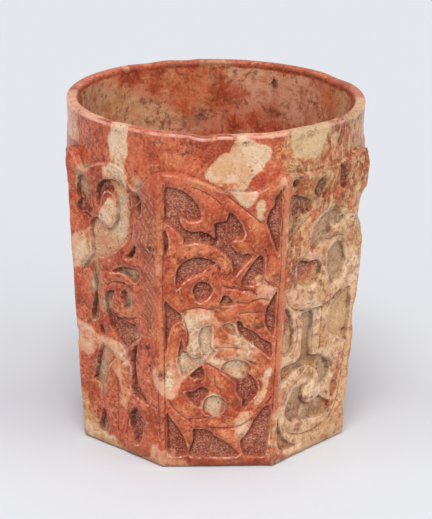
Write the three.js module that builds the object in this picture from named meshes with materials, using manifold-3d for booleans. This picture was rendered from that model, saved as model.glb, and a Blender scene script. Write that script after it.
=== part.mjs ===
// A cup carved from one block of red and cream stone: an eight-sided body that narrows towards the foot,
// a round neck and mouth, a drilled and polished well, and a sunk panel of scrolls on each of the eight faces.
// The object is one piece. Its relief is what the carver cut away, so every panel is drawn as the outlines
// of its sunk ground, and the scrolls are what stands between them.
// Units are millimetres. +Z is up, the origin is the middle of the flat base, and the front face looks along -Y.

import * as THREE from 'three';
import { mergeVertices } from 'three/addons/utils/BufferGeometryUtils.js';
import Module from 'manifold-3d';

const wasm = await Module();
wasm.setup();

// Driving dimensions

const cupHeight = 93;
const mouthRadius = 40;
const lipWall = 3;
const lipInnerRounding = 1.2;
const lipOuterRounding = 0.9;

const neckInset = 0.3;
const neckRootDepth = 10;
const shoulderHeight = 83;

const faceCount = 8;
const footApothem = 35.8;
const shoulderStep = 0.65;
const ridgeRounding = 1.1;
const footRounding = 1.5;

const floorThickness = 9;
const footWall = 4.8;
const wellCornerRadius = 5;

const groundDepth = 1.6;
const deepGroundDepth = 2.1;
const shallowGroundDepth = 1;

const chipHeight = 66;
const chipLength = 12;
const chipRounding = 4.2;
const chipDepth = 1.9;

// What follows from them

const neckRadius = mouthRadius - neckInset;
const neckRootHeight = shoulderHeight - neckRootDepth;
const shoulderApothem = neckRadius + shoulderStep;
const wellMouthRadius = mouthRadius - lipWall;
const wellFloorRadius = footApothem - footWall;

// The panels are drawn on a face of this size, and the drawing is fitted to the real face.
const drawnFaceHeight = 83;
const drawnFootHalfWidth = 14.83;
const drawnShoulderHalfWidth = 16.73;

const stone = new THREE.MeshStandardMaterial({ color: 0xb85c41, roughness: 0.38, metalness: 0 });

// Finish of the curves

const roundSteps = 60;
const ridgeSteps = 3;
const roundingSteps = 3;
const chipSteps = 12;
const outlineTolerance = 0.21;
const weldDistance = 1e-5;

// How far a cutter stands out of what it cuts
const clearance = 3;

// Closed solids and back to geometry

function solidOf(geometry) {
  const bare = geometry.clone();
  bare.deleteAttribute('normal');
  bare.deleteAttribute('uv');
  const merged = mergeVertices(bare, weldDistance);
  return new wasm.Manifold(new wasm.Mesh({
    numProp: 3,
    vertProperties: new Float32Array(merged.attributes.position.array),
    triVerts: new Uint32Array(merged.index.array),
  }));
}

function geometryOf(solid) {
  const mesh = solid.getMesh();
  const geometry = new THREE.BufferGeometry();
  geometry.setAttribute('position', new THREE.BufferAttribute(new Float32Array(mesh.vertProperties), 3));
  geometry.setIndex(new THREE.BufferAttribute(new Uint32Array(mesh.triVerts), 1));
  const flat = geometry.toNonIndexed();
  flat.computeVertexNormals();
  return flat;
}

// Turned forms: the solid neck with its rounded lip, and the well that is taken out of it

function quarterArc(centreRadius, centreHeight, radius, fromAngle, toAngle) {
  const points = [];
  for (let i = 0; i <= roundingSteps; i += 1) {
    const angle = THREE.MathUtils.lerp(fromAngle, toAngle, i / roundingSteps);
    points.push(new THREE.Vector2(
      centreRadius + radius * Math.cos(angle),
      centreHeight + radius * Math.sin(angle),
    ));
  }
  return points;
}

function turned(profile) {
  const geometry = new THREE.LatheGeometry(profile, roundSteps);
  geometry.rotateX(Math.PI / 2);
  return solidOf(geometry);
}

const rightwards = 0;
const upwards = Math.PI / 2;
const leftwards = Math.PI;
const downwards = -Math.PI / 2;

function neckAndMouth() {
  const lipRadius = mouthRadius - lipOuterRounding;
  const lipHeight = cupHeight - lipOuterRounding;
  return turned([
    new THREE.Vector2(0, neckRootHeight),
    new THREE.Vector2(neckRadius, neckRootHeight),
    new THREE.Vector2(neckRadius, shoulderHeight),
    ...quarterArc(lipRadius, lipHeight, lipOuterRounding, rightwards, upwards),
    new THREE.Vector2(0, cupHeight),
  ]);
}

function well() {
  const cornerRadius = wellFloorRadius - wellCornerRadius;
  const cornerHeight = floorThickness + wellCornerRadius;
  const lipRadius = wellMouthRadius + lipInnerRounding;
  const lipHeight = cupHeight - lipInnerRounding;
  const overTop = cupHeight + clearance;
  return turned([
    new THREE.Vector2(0, floorThickness),
    ...quarterArc(cornerRadius, cornerHeight, wellCornerRadius, downwards, rightwards),
    ...quarterArc(lipRadius, lipHeight, lipInnerRounding, leftwards, upwards),
    new THREE.Vector2(lipRadius, overTop),
    new THREE.Vector2(0, overTop),
  ]);
}

// The eight-sided body

function apothemAt(height) {
  return THREE.MathUtils.lerp(footApothem, shoulderApothem, height / shoulderHeight);
}

const halfFaceAngle = Math.PI / faceCount;
const bodyTop = shoulderHeight + clearance;

function bodyRing(height, apothem) {
  const ring = [];
  for (let corner = 0; corner < faceCount; corner += 1) {
    const cornerAngle = -Math.PI / 2 + halfFaceAngle * (2 * corner + 1);
    const centreDistance = (apothem - ridgeRounding) / Math.cos(halfFaceAngle);
    for (let i = 0; i <= ridgeSteps; i += 1) {
      const angle = cornerAngle + halfFaceAngle * ((2 * i) / ridgeSteps - 1);
      ring.push([
        centreDistance * Math.cos(cornerAngle) + ridgeRounding * Math.cos(angle),
        centreDistance * Math.sin(cornerAngle) + ridgeRounding * Math.sin(angle),
        height,
      ]);
    }
  }
  return ring;
}

function loft(rings) {
  const around = rings[0].length;
  const positions = rings.flat(2);
  const indices = [];
  for (let level = 0; level + 1 < rings.length; level += 1) {
    for (let i = 0; i < around; i += 1) {
      const a = level * around + i;
      const b = level * around + ((i + 1) % around);
      indices.push(a, b, b + around, a, b + around, a + around);
    }
  }
  const last = (rings.length - 1) * around;
  for (let i = 1; i + 1 < around; i += 1) {
    indices.push(0, i + 1, i);
    indices.push(last, last + i, last + i + 1);
  }
  const geometry = new THREE.BufferGeometry();
  geometry.setAttribute('position', new THREE.Float32BufferAttribute(positions, 3));
  geometry.setIndex(indices);
  return geometry;
}

function eightSidedBody() {
  const rings = [];
  for (let i = 0; i <= roundingSteps; i += 1) {
    const turn = (Math.PI / 2) * (i / roundingSteps);
    const height = footRounding * (1 - Math.cos(turn));
    const inset = footRounding * (1 - Math.sin(turn));
    rings.push(bodyRing(height, apothemAt(height) - inset));
  }
  rings.push(bodyRing(bodyTop, apothemAt(bodyTop)));
  return loft(rings);
}

// Panel drawings. Each outline is a closed curve through [across, up] points on the drawn face,
// seen from outside, with 0 at the middle of the face and at the base.

const frontPanel = {
  topEdge: [
    [-20, 82.6], [-16.7, 82.6], [-13, 82.3], [-9.5, 81.7], [-6, 80.7], [-3.5, 79.5], [-1, 78.3],
    [1.5, 77.6], [4.5, 77.3], [7.5, 77.4], [10, 78.1], [12, 79.4], [13.4, 81.2], [14.8, 82.8], [20, 83],
  ],
  grounds: [
    // The long ground between the upper leaf and the upper ring
    [
      [-14.9, 79.3], [-12.5, 79.3], [-10.3, 78.6], [-7.3, 76.2], [-5.5, 72.7], [-5.6, 70.5], [-8.4, 70],
      [-10.9, 71.8], [-10.5, 69.5], [-9.5, 68.1], [-7.7, 67.3], [-5.2, 67.5], [-2.9, 66.3], [-1.9, 65.3],
      [-2.2, 69.6], [-0.7, 69.9], [0.9, 70.3], [1.6, 72.7], [3.3, 71.7], [4.9, 69.2], [5.8, 66.5],
      [5.1, 65.2], [2.2, 64.8], [2.5, 63.4], [3.6, 62], [5.4, 61.1], [6.8, 61.5], [7.8, 60.5], [5.7, 58],
      [4.1, 55.9], [2.9, 54.2], [2.9, 56.7], [2.3, 59], [0.9, 60.9], [-1, 62.6], [-3.6, 63.8], [-7, 64.3],
      [-10, 63.6], [-10, 65.3], [-11.6, 67.4], [-13.2, 68.9], [-14.9, 69.9], [-15.1, 74.5],
    ],
    // Inside the upper ring: crescent, eye and spandrel
    [
      [-11.4, 51.1], [-11.9, 53.8], [-11.7, 56.4], [-10.9, 58.1], [-9.4, 59.4], [-7.4, 60.3], [-5.2, 60.4],
      [-3.1, 59.8], [-1.3, 58.5], [-2.8, 57.9], [-4.4, 56.7], [-5.4, 55.5], [-7.2, 55.1], [-8.8, 54.2],
      [-10.1, 53],
    ],
    [
      [-7.4, 51.2], [-6.9, 52.8], [-5.7, 53.7], [-4.2, 53.6], [-2.8, 52.7], [-1.9, 51.5], [-2.5, 50.1],
      [-3.7, 48.5], [-5.2, 47.6], [-6.5, 48.3], [-7.2, 49.7],
    ],
    [
      [0.2, 49.8], [1.9, 49.6], [3.2, 48.2], [3.7, 47.1], [2, 46.8], [0.2, 46.8], [-1.6, 45.9],
      [-0.6, 47.3], [0.1, 48.6],
    ],
    // Under the tail of the upper leaf
    [
      [10, 61.1], [10.9, 59.9], [11.1, 57.8], [11.1, 55.6], [11, 54.5], [9.9, 53.3], [8.3, 52.4],
      [6.6, 52.5], [5, 52.8], [5.1, 54.2], [6.6, 56.8], [8.3, 59.3],
    ],
    // Along the right border
    [
      [14.8, 79.4], [15.2, 76], [15.2, 71], [15, 67.5], [14.9, 63.8], [14.6, 60.8], [13.7, 62.6],
      [12.8, 64.8], [11.9, 67.4], [11, 69.5], [11.3, 71.3], [11.9, 73], [13.1, 74.6], [12.9, 76.3],
      [14.1, 77.6],
    ],
    [
      [14.7, 51.4], [13.8, 50], [12.6, 48], [11.7, 46], [11.3, 44], [11.3, 42], [12, 40.3], [13.2, 38.7],
      [13.9, 38.2], [14.2, 41], [14.4, 46], [14.6, 49],
    ],
    [
      [4, 42.8], [5.5, 42], [6.2, 40.8], [8, 40], [9.5, 39], [10.6, 37.8], [12, 36.9], [13.6, 36.2],
      [13.8, 33.6], [13.2, 31.8], [12, 32.9], [10.4, 34.2], [8.6, 35.5], [6.8, 36.6], [5.2, 37.7],
      [4.5, 39.4], [4.2, 41],
    ],
    // Left border, below the upper ring
    [
      [-14.7, 48.6], [-13.2, 47], [-11.6, 45.7], [-10, 44.4], [-9.7, 43], [-11, 42.3], [-12.3, 41.5],
      [-13, 39.8], [-13.6, 37.4], [-13.9, 34.4], [-14.3, 33], [-14.7, 35], [-14.7, 40], [-14.8, 45],
    ],
    // The slot and the wide ground left of the lower ring
    [
      [-5.8, 36.5], [-5.8, 38.6], [-5.1, 40.5], [-3.9, 41.2], [-2.3, 41.1], [-2.1, 38.5], [-2.1, 35],
      [-0.9, 33.8], [-2, 32.3], [-3.4, 30.8], [-5, 30], [-6.6, 28.9], [-8, 27.6], [-9.4, 26.2],
      [-10.5, 28.4], [-11.2, 30.5], [-11, 33], [-10.6, 35.5], [-10.1, 37.8], [-9.6, 35.8], [-9.4, 34],
      [-8.2, 33.9], [-8, 32.7], [-6.8, 32.1], [-5.3, 32.2], [-4.5, 33], [-5.3, 34.3],
    ],
    [
      [0.2, 41.1], [1.1, 41.8], [2.5, 42.1], [3.7, 41.1], [4.2, 39.6], [4, 38.2], [2.6, 38.6], [1.3, 39.5],
      [0.6, 40.4],
    ],
    // Inside the lower ring
    [
      [0.3, 29.2], [1.1, 30.5], [2.7, 31.3], [4.5, 31.5], [6.4, 31.1], [7.8, 30.2], [8.3, 28.8],
      [7.6, 27.5], [8.9, 26.4], [9.9, 24.7], [10.2, 22.8], [9.6, 21], [8.4, 19.6], [7.8, 18.3], [6.9, 17.5],
      [6, 17.7], [6.1, 19.6], [5.1, 20.9], [4.3, 22.3], [4.5, 23.8], [4.2, 25], [3, 25.9], [1.7, 27.1],
      [0.1, 28.1],
    ],
    [
      [-4.4, 17.9], [-4, 19.6], [-2.9, 20.8], [-1.4, 21.2], [0.2, 20.9], [1.4, 19.8], [1.7, 18.2],
      [1, 16.5], [-0.2, 15.3], [-1.8, 15], [-3.4, 15.5], [-4.2, 16.6],
    ],
    [
      [-9.2, 22.2], [-7.7, 22.3], [-6.2, 22.6], [-4.8, 23.7], [-3.3, 23.2], [-2.4, 22.1], [-3.4, 20.9],
      [-4.6, 19.5], [-5, 17.8], [-6.2, 18.2], [-7.3, 19.1], [-8.4, 20.6],
    ],
    [
      [-7.9, 26.6], [-7.1, 27.8], [-5.8, 29], [-4.6, 29.7], [-4, 28.2], [-3.9, 26.4], [-5.4, 26], [-6.8, 26],
    ],
    // Along the foot
    [
      [-14, 16.6], [-12.6, 14.6], [-11.4, 12.9], [-10, 10.8], [-9.1, 9], [-8.5, 7.2], [-8.1, 5.5],
      [-8.2, 3.7], [-10, 3.2], [-12.2, 3.1], [-13.5, 3.9], [-13.8, 8], [-14, 12],
    ],
    [
      [-7, 11.5], [-5.4, 11.3], [-3.3, 11.1], [-1.7, 10.3], [-0.8, 9.1], [1.1, 8.1], [2.9, 6.7], [4.5, 5.2],
      [5.9, 3.9], [5, 3], [0, 2.9], [-5, 3], [-7.6, 3.4], [-7.9, 4.6], [-7.3, 6.3], [-6.8, 8], [-6.8, 9.8],
    ],
    [
      [12.8, 18.2], [13.8, 17.8], [14, 15.5], [13.9, 12], [13.5, 8.8], [13.2, 5.5], [12.7, 3.3], [9.9, 3],
      [7, 3.1], [6.3, 4.5], [5.8, 6.2], [5.7, 7.8], [6.8, 9], [7.8, 10.6], [8.6, 12.4], [9.5, 14.3],
      [10.6, 16], [11.5, 17.5],
    ],
  ],
  deepGrounds: [
    // The narrow ground behind the left stem
    [
      [-15.3, 68.4], [-14.3, 67.1], [-13.6, 65.2], [-13.6, 63], [-14.2, 61.2], [-15, 60.3], [-15.4, 62],
      [-15.4, 65.5],
    ],
  ],
  shallowGrounds: [],
};

const leftPanel = {
  topEdge: [
    [-20, 82.6], [-16.7, 82.6], [-14.8, 82], [-13.4, 79.9], [-12, 78.3], [-10.7, 77.9], [-9.2, 78.5],
    [-7.5, 79.8], [-5, 80.9], [-2, 81.6], [1.2, 81.6], [3.7, 80.8], [5.2, 79.3], [6.5, 77.5], [8, 76.5],
    [9.6, 77], [11.2, 78.7], [13, 80.9], [14.8, 82.2], [16.7, 82.6], [20, 82.6],
  ],
  grounds: [
    // Left of the great arch
    [
      [-12.9, 76.4], [-11.4, 76.8], [-10, 76.2], [-8.8, 74.5], [-8.4, 72], [-8.3, 69.6], [-7.7, 67.9],
      [-8.7, 66.7], [-10.4, 67.1], [-11.7, 66.6], [-13.4, 65.5], [-13.9, 67.4], [-13.2, 69.6],
      [-13.7, 71.4], [-13.5, 74],
    ],
    // Inside the arch, around its tongue
    [
      [4.6, 77], [5, 73.5], [5, 69], [4.8, 64.2], [3.8, 61.7], [2, 59.9], [0, 58.1], [-2, 56.6],
      [-4.5, 55.3], [-7.1, 54.9], [-6.6, 53], [-6.3, 50], [-6.8, 47.5], [-7.4, 45], [-7.2, 42],
      [-7.1, 39.5], [-7.4, 37.4], [-8.4, 36.6], [-9.8, 36], [-10.3, 37.6], [-9.8, 40], [-9, 42.6],
      [-8.5, 45], [-8.6, 47], [-9.1, 49.2], [-10, 50.8], [-11.5, 50.5], [-12.9, 49.2], [-12, 51.7],
      [-10.6, 53.5], [-9.1, 54.9], [-8.9, 57.5], [-9.2, 60], [-9.3, 62.4], [-8.9, 64.5], [-7.7, 65.8],
      [-6.3, 66.3], [-5.1, 65.3], [-3.2, 63.9], [-1.4, 64.4], [0, 66.1], [0.7, 69], [0.8, 72], [-0.1, 73.9],
      [-1.6, 74.6], [-3.3, 73.8], [-4.4, 71.8], [-5, 70], [-6, 69.3], [-6.6, 71], [-6.2, 73.6],
      [-5.3, 75.7], [-3.4, 77.2], [-0.5, 77.9], [2.2, 77.8],
    ],
    // Crescent over the small ring
    [
      [-2.4, 51.7], [-0.2, 53.3], [2, 54.4], [5, 54.9], [8.5, 54.4], [8.2, 52.6], [6.7, 50.8], [5, 51.5],
      [3, 52.4], [1, 52.4], [-1, 51.9],
    ],
    // Under the small ring
    [
      [-5, 44.5], [-4.7, 41.3], [-4, 38.6], [-2.8, 36], [-1.5, 34.2], [0, 32.7], [1.4, 30.9], [2.5, 30],
      [3.2, 31.6], [4.5, 33], [6, 34], [7.8, 35.8], [7.1, 37.6], [6.2, 38.9], [4.5, 39.1], [2.5, 39.3],
      [0.5, 39.7], [-1.1, 40], [-2.2, 41.3], [-2.3, 43.1], [-1.6, 45], [-0.9, 46.8], [-2.4, 46.6],
      [-4.2, 45.8],
    ],
    // Left of the stem
    [
      [-6.9, 29.9], [-8, 27.5], [-8.8, 25], [-9.3, 22.5], [-9.9, 20.2], [-11.1, 18.1], [-9, 18.4], [-7, 18],
      [-5.5, 18.5], [-5, 20.2], [-5.4, 22], [-4.5, 24], [-3.2, 25.7], [-1.6, 27.6], [-2.8, 28.3],
      [-4, 28.8], [-5.5, 29.6],
    ],
  ],
  deepGrounds: [
    // Slots and pockets cut deeper
    [
      [7.7, 75.2], [8.8, 76], [9.9, 74.6], [10.1, 72.5], [9.8, 70.8], [9.2, 69.8], [8.6, 71.3], [8.1, 73.3],
    ],
    [
      [7.2, 62], [5.9, 60.1], [4.5, 58.6], [2.9, 57.3], [4.8, 57], [6.4, 57.9], [7.3, 59.6],
    ],
    [
      [0.9, 45.1], [1.4, 47.2], [2.5, 48.4], [3.9, 47.5], [4.9, 45.6], [4.7, 43.6], [3.2, 42.5],
      [1.6, 41.9], [2, 43.3], [1.3, 44.3],
    ],
    [
      [3.7, 29], [4.4, 31.2], [5.8, 33], [6.8, 33.6], [6.4, 31.5], [5.9, 29], [5.8, 26], [6.1, 23.6],
      [7, 21.6], [8.4, 19.4], [9.8, 16.8], [8, 17.3], [6, 17.9], [4.3, 18.4], [3.6, 20.1], [4, 23],
      [3.8, 26],
    ],
    [
      [3.2, 13.3], [4.2, 14.6], [5.6, 14.8], [6.7, 13.4], [7.4, 11.5], [7.6, 9.4], [7.2, 7.3], [6.8, 5.3],
      [5.7, 3.9], [4.4, 3.5], [3.8, 5], [3.5, 6.8], [2.7, 8.3], [2.7, 11],
    ],
    [
      [-7.2, 11], [-6.5, 9.4], [-6, 7.4], [-5.3, 5.6], [-5.8, 4.2], [-7.2, 3.5], [-8.8, 3.9], [-9.2, 5.2],
      [-8.7, 7], [-8.1, 9.5],
    ],
    [
      [-6.9, 36], [-5.9, 35.4], [-5.1, 33.6], [-5.9, 32.4], [-7, 33.2], [-7.4, 34.8],
    ],
  ],
  shallowGrounds: [],
};

const rightPanel = {
  topEdge: [
    [-20, 82.8], [-16.7, 82.6], [-15, 82], [-12, 81.5], [-9, 81], [-6, 80.7], [-3, 80.9], [0, 80.7],
    [3, 80.9], [6, 81.6], [9, 81.5], [11, 82.2], [13.5, 83], [16.7, 83], [20, 83],
  ],
  grounds: [
    // Above the great scroll
    [
      [-15, 76.6], [-12, 76.4], [-9.5, 75.4], [-7, 74.3], [-4.8, 72.8], [-6, 71], [-8, 70.4], [-10, 69.1],
      [-12, 67], [-13.1, 65], [-14.3, 63.6], [-14.9, 66], [-15.1, 71],
    ],
    [
      [4.9, 80], [5.4, 81], [6.6, 80.8], [8, 79], [9, 76.3], [8.5, 74.4], [7.1, 73.6], [5.6, 74.6], [5, 77],
    ],
    [
      [-4.2, 77.5], [-2.6, 78.8], [-0.8, 78.2], [-0.1, 76.5], [-0.1, 74.3], [-1.4, 73], [-3.2, 73.1],
      [-4.2, 74.8],
    ],
    // Inside the great scroll: crescent, eye and inner ground
    [
      [-4.5, 64.5], [-3.7, 66.3], [-2.1, 67.7], [0, 68.6], [2.5, 69], [5, 68.6], [7.3, 67], [9, 65.2],
      [6.8, 65], [4.5, 64], [2.5, 63.2], [0.8, 62.1], [-0.4, 60.6], [-2, 60], [-3.8, 59.1], [-5.2, 60],
      [-5.1, 62.2],
    ],
    [
      [3, 57.5], [4.4, 59], [6.4, 59.5], [8.3, 58.8], [9.6, 57.1], [10.3, 55], [10.4, 53], [9.8, 51.2],
      [8.8, 49.6], [7.3, 48], [5.7, 47.2], [4.5, 48], [3.7, 49.6], [2.9, 51.2], [2.4, 53.2], [2.4, 55.5],
    ],
    [
      [-10, 55.6], [-9.7, 57.6], [-8, 57.5], [-5.5, 56.5], [-3, 56.4], [-1, 56], [0.1, 54.5], [0.1, 51.7],
      [-1.4, 50.1], [-3.5, 49.1], [-5.6, 49.1], [-7.6, 49.9], [-9.3, 51.5], [-9.8, 53.5],
    ],
    // Beside and between the stems
    [
      [-13.9, 45.6], [-12.2, 44.8], [-11, 42.9], [-10.1, 40.6], [-9.4, 38], [-9, 35.4], [-9.1, 33.2],
      [-9.9, 31.9], [-11.5, 31.1], [-13.2, 31.5], [-13.9, 34], [-14.1, 38], [-14.1, 42],
    ],
    [
      [-7.4, 42.1], [-5, 42.1], [-2.1, 41.8], [-1.8, 39], [-1.9, 35], [-1.9, 31], [-1.5, 28.9], [0.5, 28.3],
      [3, 27.7], [5, 26.4], [6.2, 24.5], [7.1, 22.7], [7.2, 20.7], [6.2, 19], [4.3, 18.4], [3.2, 19.1],
      [2.9, 20.5], [2.2, 22.3], [0.8, 24], [-1.2, 25.4], [-4, 26.4], [-7, 26.3], [-9.3, 25], [-11.5, 23.9],
      [-13.3, 24], [-13.9, 26], [-13.7, 28.4], [-11, 28.5], [-8, 28.5], [-6.4, 29.4], [-6, 31.4],
      [-6.2, 33.8], [-5.9, 36], [-6, 38.8], [-6.8, 40.6],
    ],
    [
      [5.3, 41.2], [7, 42.3], [10, 43.4], [12.9, 45], [14.2, 43], [14.3, 38], [14.2, 33], [13.7, 28.8],
      [12.7, 28.4], [11.3, 29.6], [9.4, 31], [7, 32], [5.4, 33.4], [5, 36], [5.2, 39],
    ],
    // Inside the lower ring
    [
      [-10.8, 15.5], [-9.8, 17.7], [-8, 19.6], [-6, 20.9], [-3.5, 21], [-1, 20.3], [-2.7, 19.4], [-3.7, 18],
      [-3.5, 16.4], [-2.1, 15], [0, 14.2], [1.9, 14.7], [3.4, 15.6], [5.5, 14.1], [8, 12.5], [8.8, 10.9],
      [7.2, 9.3], [5, 8.4], [2.5, 8.7], [0, 9.4], [-2.5, 9.9], [-4.5, 10.1], [-6.5, 10], [-8.1, 10.8],
      [-9.6, 12.1], [-10.6, 13.8],
    ],
    // Round the outside of the lower ring
    [
      [-13.7, 17], [-13.2, 14], [-12.6, 11.4], [-11.5, 9], [-10, 7], [-8, 5.1], [-6, 3.9], [-4.4, 3.1],
      [-7, 2.7], [-10, 3.1], [-12.2, 4.3], [-13.4, 6.5], [-13.9, 9], [-14, 13],
    ],
  ],
  deepGrounds: [
    // A pocket by the neck
    [
      [-14.6, 80.6], [-12.2, 80.6], [-10.9, 79.6], [-10.9, 78.4], [-12.4, 78.1], [-14.4, 78.7],
    ],
  ],
  shallowGrounds: [
    // The hollow beside the lower ring
    [
      [8.3, 18], [9.6, 18.2], [11, 17.4], [11.3, 15.9], [10.8, 14], [9.4, 12.9], [8.2, 13.2], [8.6, 14.6],
      [8.3, 16.3],
    ],
  ],
};

// The drawings go round the cup, to the right, from the front face.
// A hidden face repeats a drawing, and some of them are mirrored.
const panelsRoundTheCup = [
  { drawing: frontPanel, mirrored: false },
  { drawing: rightPanel, mirrored: false },
  { drawing: leftPanel, mirrored: true },
  { drawing: frontPanel, mirrored: true },
  { drawing: leftPanel, mirrored: false },
  { drawing: rightPanel, mirrored: true },
  { drawing: frontPanel, mirrored: false },
  { drawing: leftPanel, mirrored: false },
];

// From a drawing to the face

function faceFrame(face) {
  const azimuth = -Math.PI / 2 + face * 2 * halfFaceAngle;
  const outward = new THREE.Vector3(Math.cos(azimuth), Math.sin(azimuth), 0);
  const across = new THREE.Vector3(-Math.sin(azimuth), Math.cos(azimuth), 0);
  const rise = new THREE.Vector3(0, 0, shoulderHeight);
  const up = rise.addScaledVector(outward, shoulderApothem - footApothem).normalize();
  const normal = new THREE.Vector3().crossVectors(across, up);
  const frame = new THREE.Matrix4().makeBasis(across, up, normal);
  frame.setPosition(outward.multiplyScalar(footApothem));
  return frame;
}

function onFace([across, up], mirrored) {
  const share = up / drawnFaceHeight;
  const drawnHalfWidth = THREE.MathUtils.lerp(drawnFootHalfWidth, drawnShoulderHalfWidth, share);
  const realHalfWidth = apothemAt(share * shoulderHeight) * Math.tan(halfFaceAngle);
  const slopeLength = Math.hypot(shoulderHeight, shoulderApothem - footApothem);
  const side = mirrored ? -1 : 1;
  return new THREE.Vector3((side * across * realHalfWidth) / drawnHalfWidth, share * slopeLength, 0);
}

// A smooth curve through the drawn points, halved once more wherever a straight step would leave it.
function smoothCurve(points, closed) {
  const curve = new THREE.CatmullRomCurve3(points, closed, 'centripetal');
  const intervals = closed ? points.length : points.length - 1;
  const smooth = [];
  for (let i = 0; i < intervals; i += 1) {
    const next = points[(i + 1) % points.length];
    const chordMiddle = points[i].clone().lerp(next, 0.5);
    const curveMiddle = curve.getPoint((i + 0.5) / intervals);
    smooth.push(points[i]);
    if (curveMiddle.distanceTo(chordMiddle) > outlineTolerance) {
      smooth.push(curveMiddle);
    }
  }
  if (!closed) {
    smooth.push(points[points.length - 1]);
  }
  return smooth.map(({ x, y }) => new THREE.Vector2(x, y));
}

function groundCutter(outline, depth, mirrored) {
  const shape = new THREE.Shape(smoothCurve(outline.map((point) => onFace(point, mirrored)), true));
  const cutter = new THREE.ExtrudeGeometry(shape, { depth: depth + clearance, bevelEnabled: false });
  cutter.translate(0, 0, -depth);
  return solidOf(cutter);
}

function aboveTopEdge(topEdge, mirrored) {
  const edge = smoothCurve(topEdge.map((point) => onFace(point, mirrored)), false);
  const overTop = Math.max(bodyTop, ...edge.map(({ y }) => y)) + clearance;
  const shape = new THREE.Shape([
    ...edge,
    new THREE.Vector2(edge[edge.length - 1].x, overTop),
    new THREE.Vector2(edge[0].x, overTop),
  ]);
  const reach = shoulderApothem - neckRadius * Math.cos(halfFaceAngle) + clearance;
  const cutter = new THREE.ExtrudeGeometry(shape, { depth: reach + clearance, bevelEnabled: false });
  cutter.translate(0, 0, -reach);
  return solidOf(cutter);
}

function onItsFace(cutter, face) {
  return cutter.transform(faceFrame(face).elements);
}

// An old chip in the ridge at the right of the right-hand face

function chip() {
  const bite = new THREE.SphereGeometry(chipRounding, chipSteps, chipSteps);
  bite.rotateX(Math.PI / 2);
  bite.scale(1, 1, chipLength / (2 * chipRounding));
  const azimuth = -Math.PI / 2 + 3 * halfFaceAngle;
  const reach = apothemAt(chipHeight) / Math.cos(halfFaceAngle) + chipRounding - chipDepth;
  bite.translate(reach * Math.cos(azimuth), reach * Math.sin(azimuth), chipHeight);
  return solidOf(bite);
}

// The cup

function carvedCup() {
  const depths = { grounds: groundDepth, deepGrounds: deepGroundDepth, shallowGrounds: shallowGroundDepth };
  const grounds = [];
  let body = solidOf(eightSidedBody());
  panelsRoundTheCup.forEach(({ drawing, mirrored }, face) => {
    body = body.subtract(onItsFace(aboveTopEdge(drawing.topEdge, mirrored), face));
    for (const [kind, depth] of Object.entries(depths)) {
      for (const outline of drawing[kind]) {
        grounds.push(onItsFace(groundCutter(outline, depth, mirrored), face));
      }
    }
  });
  let cup = body.add(neckAndMouth()).subtract(well());
  for (const ground of grounds) {
    cup = cup.subtract(ground);
  }
  return cup.subtract(chip());
}

const cup = new THREE.Mesh(geometryOf(carvedCup()), stone);
cup.name = 'cup';

const model = new THREE.Group();
model.add(cup);

export default model;
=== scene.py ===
"""A cup carved from one block of red and cream stone, on a pale studio floor.

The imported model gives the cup's size, its eight faces and the outlines of the sunk ground on each face.
This script rebuilds that surface as one fine mesh, with the worn edges, cut lines, tool marks and chips
of hand carving, and gives it a procedural stone with drawn patches of cream, tan and rust.
"""

import itertools
import math

import bpy
import numpy as np
from mathutils import Matrix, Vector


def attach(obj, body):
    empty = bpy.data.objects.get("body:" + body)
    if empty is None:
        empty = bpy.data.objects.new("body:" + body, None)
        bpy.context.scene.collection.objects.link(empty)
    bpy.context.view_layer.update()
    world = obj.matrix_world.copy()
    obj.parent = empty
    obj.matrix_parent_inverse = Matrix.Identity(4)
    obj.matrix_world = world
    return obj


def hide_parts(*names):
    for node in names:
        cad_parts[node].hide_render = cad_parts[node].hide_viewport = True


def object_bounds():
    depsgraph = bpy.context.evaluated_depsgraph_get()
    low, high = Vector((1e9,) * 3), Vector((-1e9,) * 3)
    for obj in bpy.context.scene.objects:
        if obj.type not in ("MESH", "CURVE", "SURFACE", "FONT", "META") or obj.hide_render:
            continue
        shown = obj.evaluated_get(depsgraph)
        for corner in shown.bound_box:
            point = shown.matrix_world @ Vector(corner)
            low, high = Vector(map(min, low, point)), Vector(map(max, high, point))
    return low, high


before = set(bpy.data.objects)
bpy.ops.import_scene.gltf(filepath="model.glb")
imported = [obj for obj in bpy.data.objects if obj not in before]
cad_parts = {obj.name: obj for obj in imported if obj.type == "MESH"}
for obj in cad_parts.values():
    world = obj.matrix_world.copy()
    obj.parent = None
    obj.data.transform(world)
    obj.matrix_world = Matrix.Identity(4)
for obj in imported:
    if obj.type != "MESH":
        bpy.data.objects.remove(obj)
CAD_LOW, CAD_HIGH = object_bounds()

MM = 0.001

# Sizes of the cup in millimetres, as in the solid

FACES = 8
HALF_ANGLE = math.pi / FACES
CUP_HEIGHT = (CAD_HIGH.z - CAD_LOW.z) / MM
MOUTH_RADIUS = 40.0
NECK_RADIUS = 39.7
LIP_WALL = 3.0
LIP_OUTER_ROUNDING = 0.9
LIP_INNER_ROUNDING = 1.2
SHOULDER_HEIGHT = 83.0
FOOT_APOTHEM = 35.8
SHOULDER_APOTHEM = 40.35
FLOOR_THICKNESS = 9.0
WELL_FLOOR_RADIUS = 31.0
WELL_CORNER_RADIUS = 5.0
RIDGE_ROUNDING = 1.2
FOOT_ROUNDING = 1.6

# How fine the mesh is, round the cup to the right from the front face

COLUMNS_ON_FACE = [84, 66, 50, 48, 48, 48, 50, 66]
COLUMNS = sum(COLUMNS_ON_FACE)
ROW_STEP = 0.5
PANEL_TOP = 84.9

# Colours, as they look in sRGB

# The paper far behind, round the cup where it is darkened as painted shade, and in front where it is
# lightened as painted light
FAR_PAPER = (228, 230, 233)
PAPER = (220, 223, 228)
NEAR_PAPER = (235, 239, 243)


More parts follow.
